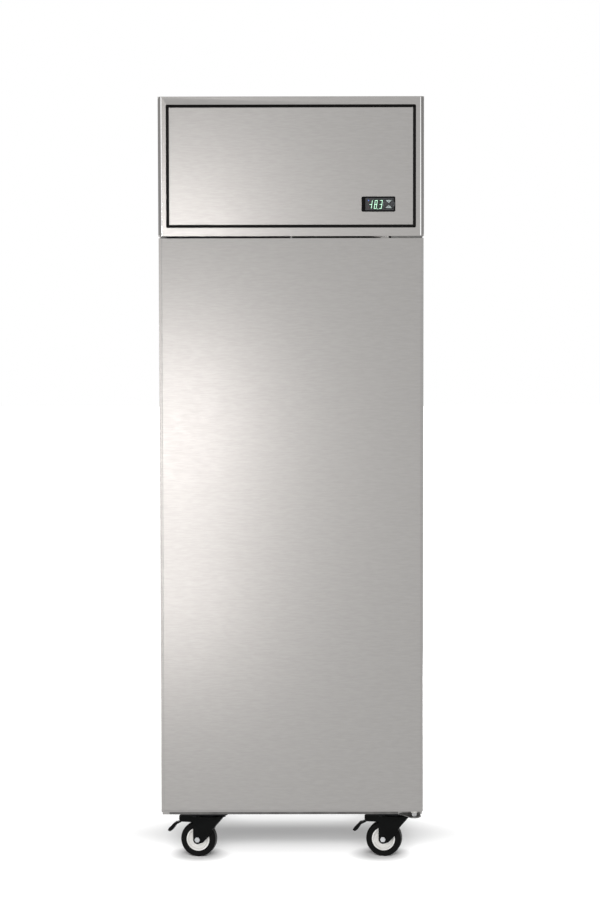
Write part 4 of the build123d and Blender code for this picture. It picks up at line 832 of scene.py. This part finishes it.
# louvres: hoods pressed out of the machine cover's back, over its slots
louvre = {
    "columns": (-190, 0, 190),
    "count": 12,
    "pitch": 16.0,
    "middleZ": 1930.0,
    "lift": 0.8,
    "size": (154, 5.2, 9.5),
    "bend": 3.2,
    "sheet": 0.8,
    "backY": 400.0,
}
wide, deep, high = louvre["size"]
y = louvre["backY"]
x = louvre["columns"][0]
z = louvre["middleZ"] - louvre["pitch"] * (louvre["count"] - 1) / 2 + louvre["lift"]
hood = startBlock((x - wide / 2, y, z - high / 2), (x + wide / 2, y + deep, z + high / 2))
pick(hood, faces=lambda centre, normal: normal.y < -0.9 or normal.z < -0.9)
bpy.ops.mesh.delete(type="FACE")
bpy.ops.object.mode_set(mode="OBJECT")
pick(hood, edges=lambda one, other: min(one.y, other.y) > 0.405 and (
    min(one.z, other.z) > z * mm or abs(one.x - other.x) < 0.1 * mm))
bpy.ops.mesh.bevel(offset=louvre["bend"] * mm, segments=4)
bpy.ops.object.mode_set(mode="OBJECT")
applyModifier(hood, "SOLIDIFY", thickness=louvre["sheet"] * mm, offset=-1)
repeatPiece(hood, louvre["count"], (0, 0, louvre["pitch"]))
hoods = joinPieces([hood] + [copyOf(hood, (column - x, 0, 0)) for column in louvre["columns"][1:]])
smoothEdges(hoods, 40)
hand(hoods, "louvreHoods", "cabinet", zincSheet)
print("louvres pressed")

# screws: hexagon heads on a pressed washer, dished on top
screw = {
    "washerRadius": 5.0,
    "washerHeight": 0.9,
    "washerEdge": 0.5,
    "headRadius": 3.3,
    "headHeight": 2.4,
    "headSink": 0.2,
    "rim": 0.5,
    "slope": 0.7,
    "dish": 0.5,
}


def screwHead(place, facing):
    # stands on a surface at place, facing outwards
    deselectAll()
    bpy.ops.mesh.primitive_cylinder_add(vertices=24, radius=screw["washerRadius"] * mm,
                                        depth=screw["washerHeight"] * mm,
                                        location=(0, 0, screw["washerHeight"] / 2 * mm))
    washer = bpy.context.active_object
    settle(washer)
    pick(washer, faces=lambda centre, normal: normal.z > 0.9)
    bpy.ops.mesh.bevel(offset=screw["washerEdge"] * mm, segments=2)
    bpy.ops.object.mode_set(mode="OBJECT")
    middleZ = screw["washerHeight"] + screw["headHeight"] / 2 - screw["headSink"]
    bpy.ops.mesh.primitive_cylinder_add(vertices=6, radius=screw["headRadius"] * mm,
                                        depth=screw["headHeight"] * mm, location=(0, 0, middleZ * mm))
    head = bpy.context.active_object
    settle(head)
    pick(head, faces=lambda centre, normal: normal.z > 0.9)
    bpy.ops.mesh.inset(thickness=screw["rim"] * mm)
    bpy.ops.mesh.inset(thickness=screw["slope"] * mm)
    bpy.ops.transform.translate(value=(0, 0, -screw["dish"] * mm))
    bpy.ops.object.mode_set(mode="OBJECT")
    whole = joinPieces([washer, head])
    whole.rotation_euler = Vector(facing).to_track_quat("Z", "Y").to_euler()
    whole.location = [p * mm for p in place]
    settle(whole)
    return whole


def screwSet(name, body, material, places, facing):
    screws = joinPieces([screwHead(place, facing) for place in places])
    smoothEdges(screws, 30)
    hand(screws, name, body, material)


coverScrews = [(x, 400, z) for x in (-345, 345) for z in (1760, 1930, 2100)]
screwSet("machineCoverScrews", "cabinet", zincPlate, coverScrews, (0, 1, 0))
evaporatorScrews = [(x, 55, 1530) for x in (-265, 265)]
screwSet("evaporatorCoverScrews", "cabinet", zincPlate, evaporatorScrews, (0, -1, 0))
boxScrews = [(x, y, 1851) for x in (215, 325) for y in (-95, 105)]
screwSet("electricalBoxScrews", "cabinet", zincPlate, boxScrews, (0, 0, 1))
print("screws set")

# compressor fittings: a moulded cover over its terminals, and rubber feet under bolts with washers
compressor = {
    "terminalBox": ((2, 96, 1788), (30, 144, 1842)),
    "boxStep": (6, 3),
    "boxRound": 3,
    "feet": [(x, y) for x in (-163, 3) for y in (52, 188)],
    "footZ": 1736.0,
    "footRadius": 7.5,
    "footHeight": 7.0,
    "footWaist": 0.8,
    "footEdge": 1.2,
}
cover = startBlock(*compressor["terminalBox"])
pick(cover, faces=lambda centre, normal: normal.x > 0.9)
bpy.ops.mesh.inset(thickness=compressor["boxStep"][0] * mm)
bpy.ops.transform.translate(value=(compressor["boxStep"][1] * mm, 0, 0))
bpy.ops.object.mode_set(mode="OBJECT")
applyModifier(cover, "BEVEL", width=compressor["boxRound"] * mm, segments=3, limit_method="ANGLE",
              angle_limit=math.radians(25))
smoothEdges(cover)
hand(cover, "terminalCover", "cabinet", boxPlastic)
grommets = []
for x, y in compressor["feet"]:
    middle = (x * mm, y * mm, (compressor["footZ"] + compressor["footHeight"] / 2) * mm)
    deselectAll()
    bpy.ops.mesh.primitive_cylinder_add(vertices=24, radius=compressor["footRadius"] * mm,
                                        depth=compressor["footHeight"] * mm, location=middle)
    grommet = bpy.context.active_object
    settle(grommet)
    bpy.ops.object.mode_set(mode="EDIT")
    bpy.ops.mesh.select_all(action="SELECT")
    bpy.ops.mesh.bisect(plane_co=(0, 0, middle[2]), plane_no=(0, 0, 1))
    waist = compressor["footWaist"]
    bpy.ops.transform.resize(value=(waist, waist, 1), center_override=middle)
    bpy.ops.object.mode_set(mode="OBJECT")
    applyModifier(grommet, "BEVEL", width=compressor["footEdge"] * mm, segments=2, limit_method="ANGLE",
                  angle_limit=math.radians(35))
    grommets.append(grommet)
feet = joinPieces(grommets)
smoothEdges(feet)
hand(feet, "compressorGrommets", "cabinet", tyreRubber)
footScrews = [(x, y, compressor["footZ"] + compressor["footHeight"]) for x, y in compressor["feet"]]
screwSet("compressorBolts", "cabinet", zincPlate, footScrews, (0, 0, 1))
print("compressor fitted out")

# floor, light and camera
studio = {
    "floorSize": 60.0,
    "floorPaper": "#c4c4c4",
    "floorGlow": (0.27, 0.62),
    "glowReach": 2.6,
    "glowCore": 0.5,
    # the shade and wheel values shape a painted shadow on the floor
    "shadeReach": (1.6, 0.3),
    "shadeCore": 0.75,
    "shadeLift": 0.32,
    "wheelShadowReach": (0.1, 0.11),
    "wheelShadowShift": (-0.006, 0.008),
    "worldLight": 1.0,
    "screens": ((0.66, 1.0), (0.76, 0.3), (0.92, 0.3), (0.985, 1.0)),
    "lampY": -2.52,
    "lampColour": "#fffbf9",
}

deselectAll()
bpy.ops.mesh.primitive_plane_add(size=studio["floorSize"], location=(0, 0, 0))
floor = bpy.context.active_object
floor.name = "studioFloor"
paper = bpy.data.materials.new("paperFloor")
paper.use_nodes = True
tree = paper.node_tree
tree.nodes.remove(tree.nodes["Principled BSDF"])
matt = addNode(tree, "ShaderNodeBsdfDiffuse", {"Color": hexColour(studio["floorPaper"])})
onFloor = addNode(tree, "ShaderNodeTexCoord").outputs["Object"]


def fade(centre, reach):
    # one at a point of the floor, falling evenly to nothing at reach = (x, y) metres from it
    spot = addNode(tree, "ShaderNodeMapping", {"Scale": (1 / reach[0], 1 / reach[1], 0),
                                               "Location": (-centre[0] / reach[0], -centre[1] / reach[1], 0)},
                   {0: onFloor})
    falling = addNode(tree, "ShaderNodeTexGradient", {"gradient_type": "SPHERICAL"}, {0: spot.outputs[0]})
    return falling.outputs["Fac"]


# painted shadow: the paper glows less round the object, least in a band under it and behind each wheel,
# so that a shadow shows there, darker than the lamps alone make it, and the rest stays white
lowGlow, highGlow = studio["floorGlow"]
around = addNode(tree, "ShaderNodeMapRange",
                 {"From Max": studio["glowCore"], "To Min": highGlow, "To Max": lowGlow},
                 {0: fade((0, 0), [studio["glowReach"]] * 2)})
lift = addNode(tree, "ShaderNodeMapRange",
               {"From Max": studio["shadeCore"], "To Min": studio["shadeLift"], "To Max": 0.0},
               {0: fade((0, 0), studio["shadeReach"])})
level = addNode(tree, "ShaderNodeMath", {"operation": "ADD"}, {0: around.outputs[0], 1: lift.outputs[0]})
# a painted shadow spot at each wheel
for place in castors:
    tyre = frame["nodes"][f"{place}_tyre"]
    corners = [tyre.matrix_world @ Vector(corner) for corner in tyre.bound_box]
    middle = sum(corners, Vector()) / len(corners)
    level = addNode(tree, "ShaderNodeMath", {"operation": "SUBTRACT"},
                    {0: level.outputs[0],
                     1: fade([a + b for a, b in zip(middle, studio["wheelShadowShift"])], studio["wheelShadowReach"])})
level = addNode(tree, "ShaderNodeMath", {"operation": "MAXIMUM", 1: 0.0}, {0: level.outputs[0]})
# the camera sees the paper glow, a mirrored or refracted view shows it plain white, and the light
# that it sends back to the object is a matt sheet's
glow = addNode(tree, "ShaderNodeEmission", {"Color": hexColour("#ffffff")}, {"Strength": level.outputs[0]})
both = addNode(tree, "ShaderNodeAddShader", {}, {0: matt.outputs[0], 1: glow.outputs[0]})
pale = addNode(tree, "ShaderNodeEmission", {"Color": hexColour("#ffffff"), "Strength": 1.0})
rays = addNode(tree, "ShaderNodeLightPath")
mirrored = addNode(tree, "ShaderNodeMath", {"operation": "MAXIMUM"}, {0: rays.outputs["Is Glossy Ray"],
                                                                      1: rays.outputs["Is Transmission Ray"]})
unseen = addNode(tree, "ShaderNodeMixShader", {}, {0: mirrored.outputs[0], 1: matt.outputs[0],
                                                   2: pale.outputs[0]})
seen = addNode(tree, "ShaderNodeMixShader", {}, {0: rays.outputs["Is Camera Ray"], 1: unseen.outputs[0],
                                                 2: both.outputs[0]})
tree.links.new(seen.outputs[0], tree.nodes["Material Output"].inputs["Surface"])
floor.data.materials.append(paper)

# the world is white ahead, behind and to each side, with a soft grey between, as between two screens
world = bpy.data.worlds.new("paleStudio")
bpy.context.scene.world = world
world.use_nodes = True
tree = world.node_tree
sky = tree.nodes["Background"]
sky.inputs["Strength"].default_value = studio["worldLight"]
onSky = addNode(tree, "ShaderNodeTexCoord").outputs["Generated"]
skyAxes = addNode(tree, "ShaderNodeSeparateXYZ", {}, {0: onSky})
sideways = addNode(tree, "ShaderNodeMath", {"operation": "ABSOLUTE"}, {0: skyAxes.outputs["X"]})
screens = addNode(tree, "ShaderNodeValToRGB", {}, {0: sideways.outputs[0]})
ramp = screens.color_ramp
for place, level in studio["screens"]:
    stop = ramp.elements.new(place)
    stop.color = (level, level, level, 1)
ramp.elements[0].color = ramp.elements[-1].color = (1, 1, 1, 1)
tree.links.new(screens.outputs[0], sky.inputs["Color"])
backdrop = addNode(tree, "ShaderNodeBackground", {"Color": hexColour("#ffffff"), "Strength": 1.0})
rays = addNode(tree, "ShaderNodeLightPath")
mixer = addNode(tree, "ShaderNodeMixShader", {}, {0: rays.outputs["Is Camera Ray"], 1: sky.outputs[0],
                                                  2: backdrop.outputs[0]})
tree.links.new(mixer.outputs[0], tree.nodes["World Output"].inputs["Surface"])

floorOnly = bpy.data.collections.new("floorOnly")
floorOnly.objects.link(floor)
fasciaPieces = bpy.data.collections.new("fasciaPieces")
for piece in bpy.context.scene.objects:
    if piece.name.startswith(("fasciaFrame", "servicePanel", "controller", "upperKey", "lowerKey")):
        fasciaPieces.objects.link(piece)


def softLamp(name, place, target, size, watts, colour="#ffffff", only=None):
    lamp = bpy.data.lights.new(name, "AREA")
    lamp.shape = "ELLIPSE"
    lamp.size, lamp.size_y = size
    lamp.energy = watts
    lamp.color = hexColour(colour)[:3]
    holder = bpy.data.objects.new(name, lamp)
    bpy.context.scene.collection.objects.link(holder)
    holder.location = place
    holder.rotation_euler = (Vector(target) - Vector(place)).to_track_quat("-Z", "Y").to_euler()
    holder.visible_camera = False
    if only:
        holder.light_linking.receiver_collection = only


# each lamp is seen in the door as a wide soft glow, because the brushed steel blurs it:
# name, its x, the x it faces, height, size, watts and the pieces that it alone lights
frontLamps = (
    ("doorGlowUpper", -0.44, -0.44, 1.12, (0.12, 0.62), 4.2, None),
    ("doorGlowLower", -0.44, -0.44, 0.49, (0.12, 0.24), 2.15, None),
    ("fasciaGlow", -0.44, -0.44, 1.76, (0.12, 0.24), 3.2, fasciaPieces),
    ("doorEdgeGlow", -1.25, -0.8, 1.12, (0.12, 0.5), 3.4, None),
    ("doorEdgeGlow", -1.25, -0.8, 0.49, (0.12, 0.5), 1.9, None),
)
for name, x, facingX, z, size, watts, only in frontLamps:
    softLamp(name, (x, studio["lampY"], z), (facingX, 0, z), size, watts, studio["lampColour"], only)
# the floor has its own two lamps, ahead and behind, that reach a little way under the cabinet
for side in (-1, 1):
    softLamp("floorGlow", (0, side * 3.4, 1.45), (0, 0, 0), (3.0, 0.8), 170.0, only=floorOnly)

# the camera stands ahead, level with the door's upper half, and looks a little down
view = {
    "lens": 101.62,
    "sensor": 36,
    "shift": 8.79 / 900,
    "place": (0, -7.417, 1.573),
    "tilt": 3.392,
    "roll": 0.109,
}
camera = bpy.data.objects.new("camera", bpy.data.cameras.new("camera"))
bpy.context.scene.collection.objects.link(camera)
camera.data.lens = view["lens"]
camera.data.sensor_width = view["sensor"]
camera.data.shift_x = view["shift"]
camera.location = view["place"]
camera.rotation_euler = (math.radians(90 - view["tilt"]), math.radians(view["roll"]), 0)
bpy.context.scene.camera = camera
bpy.context.scene.view_settings.view_transform = "Standard"
print("studio ready")
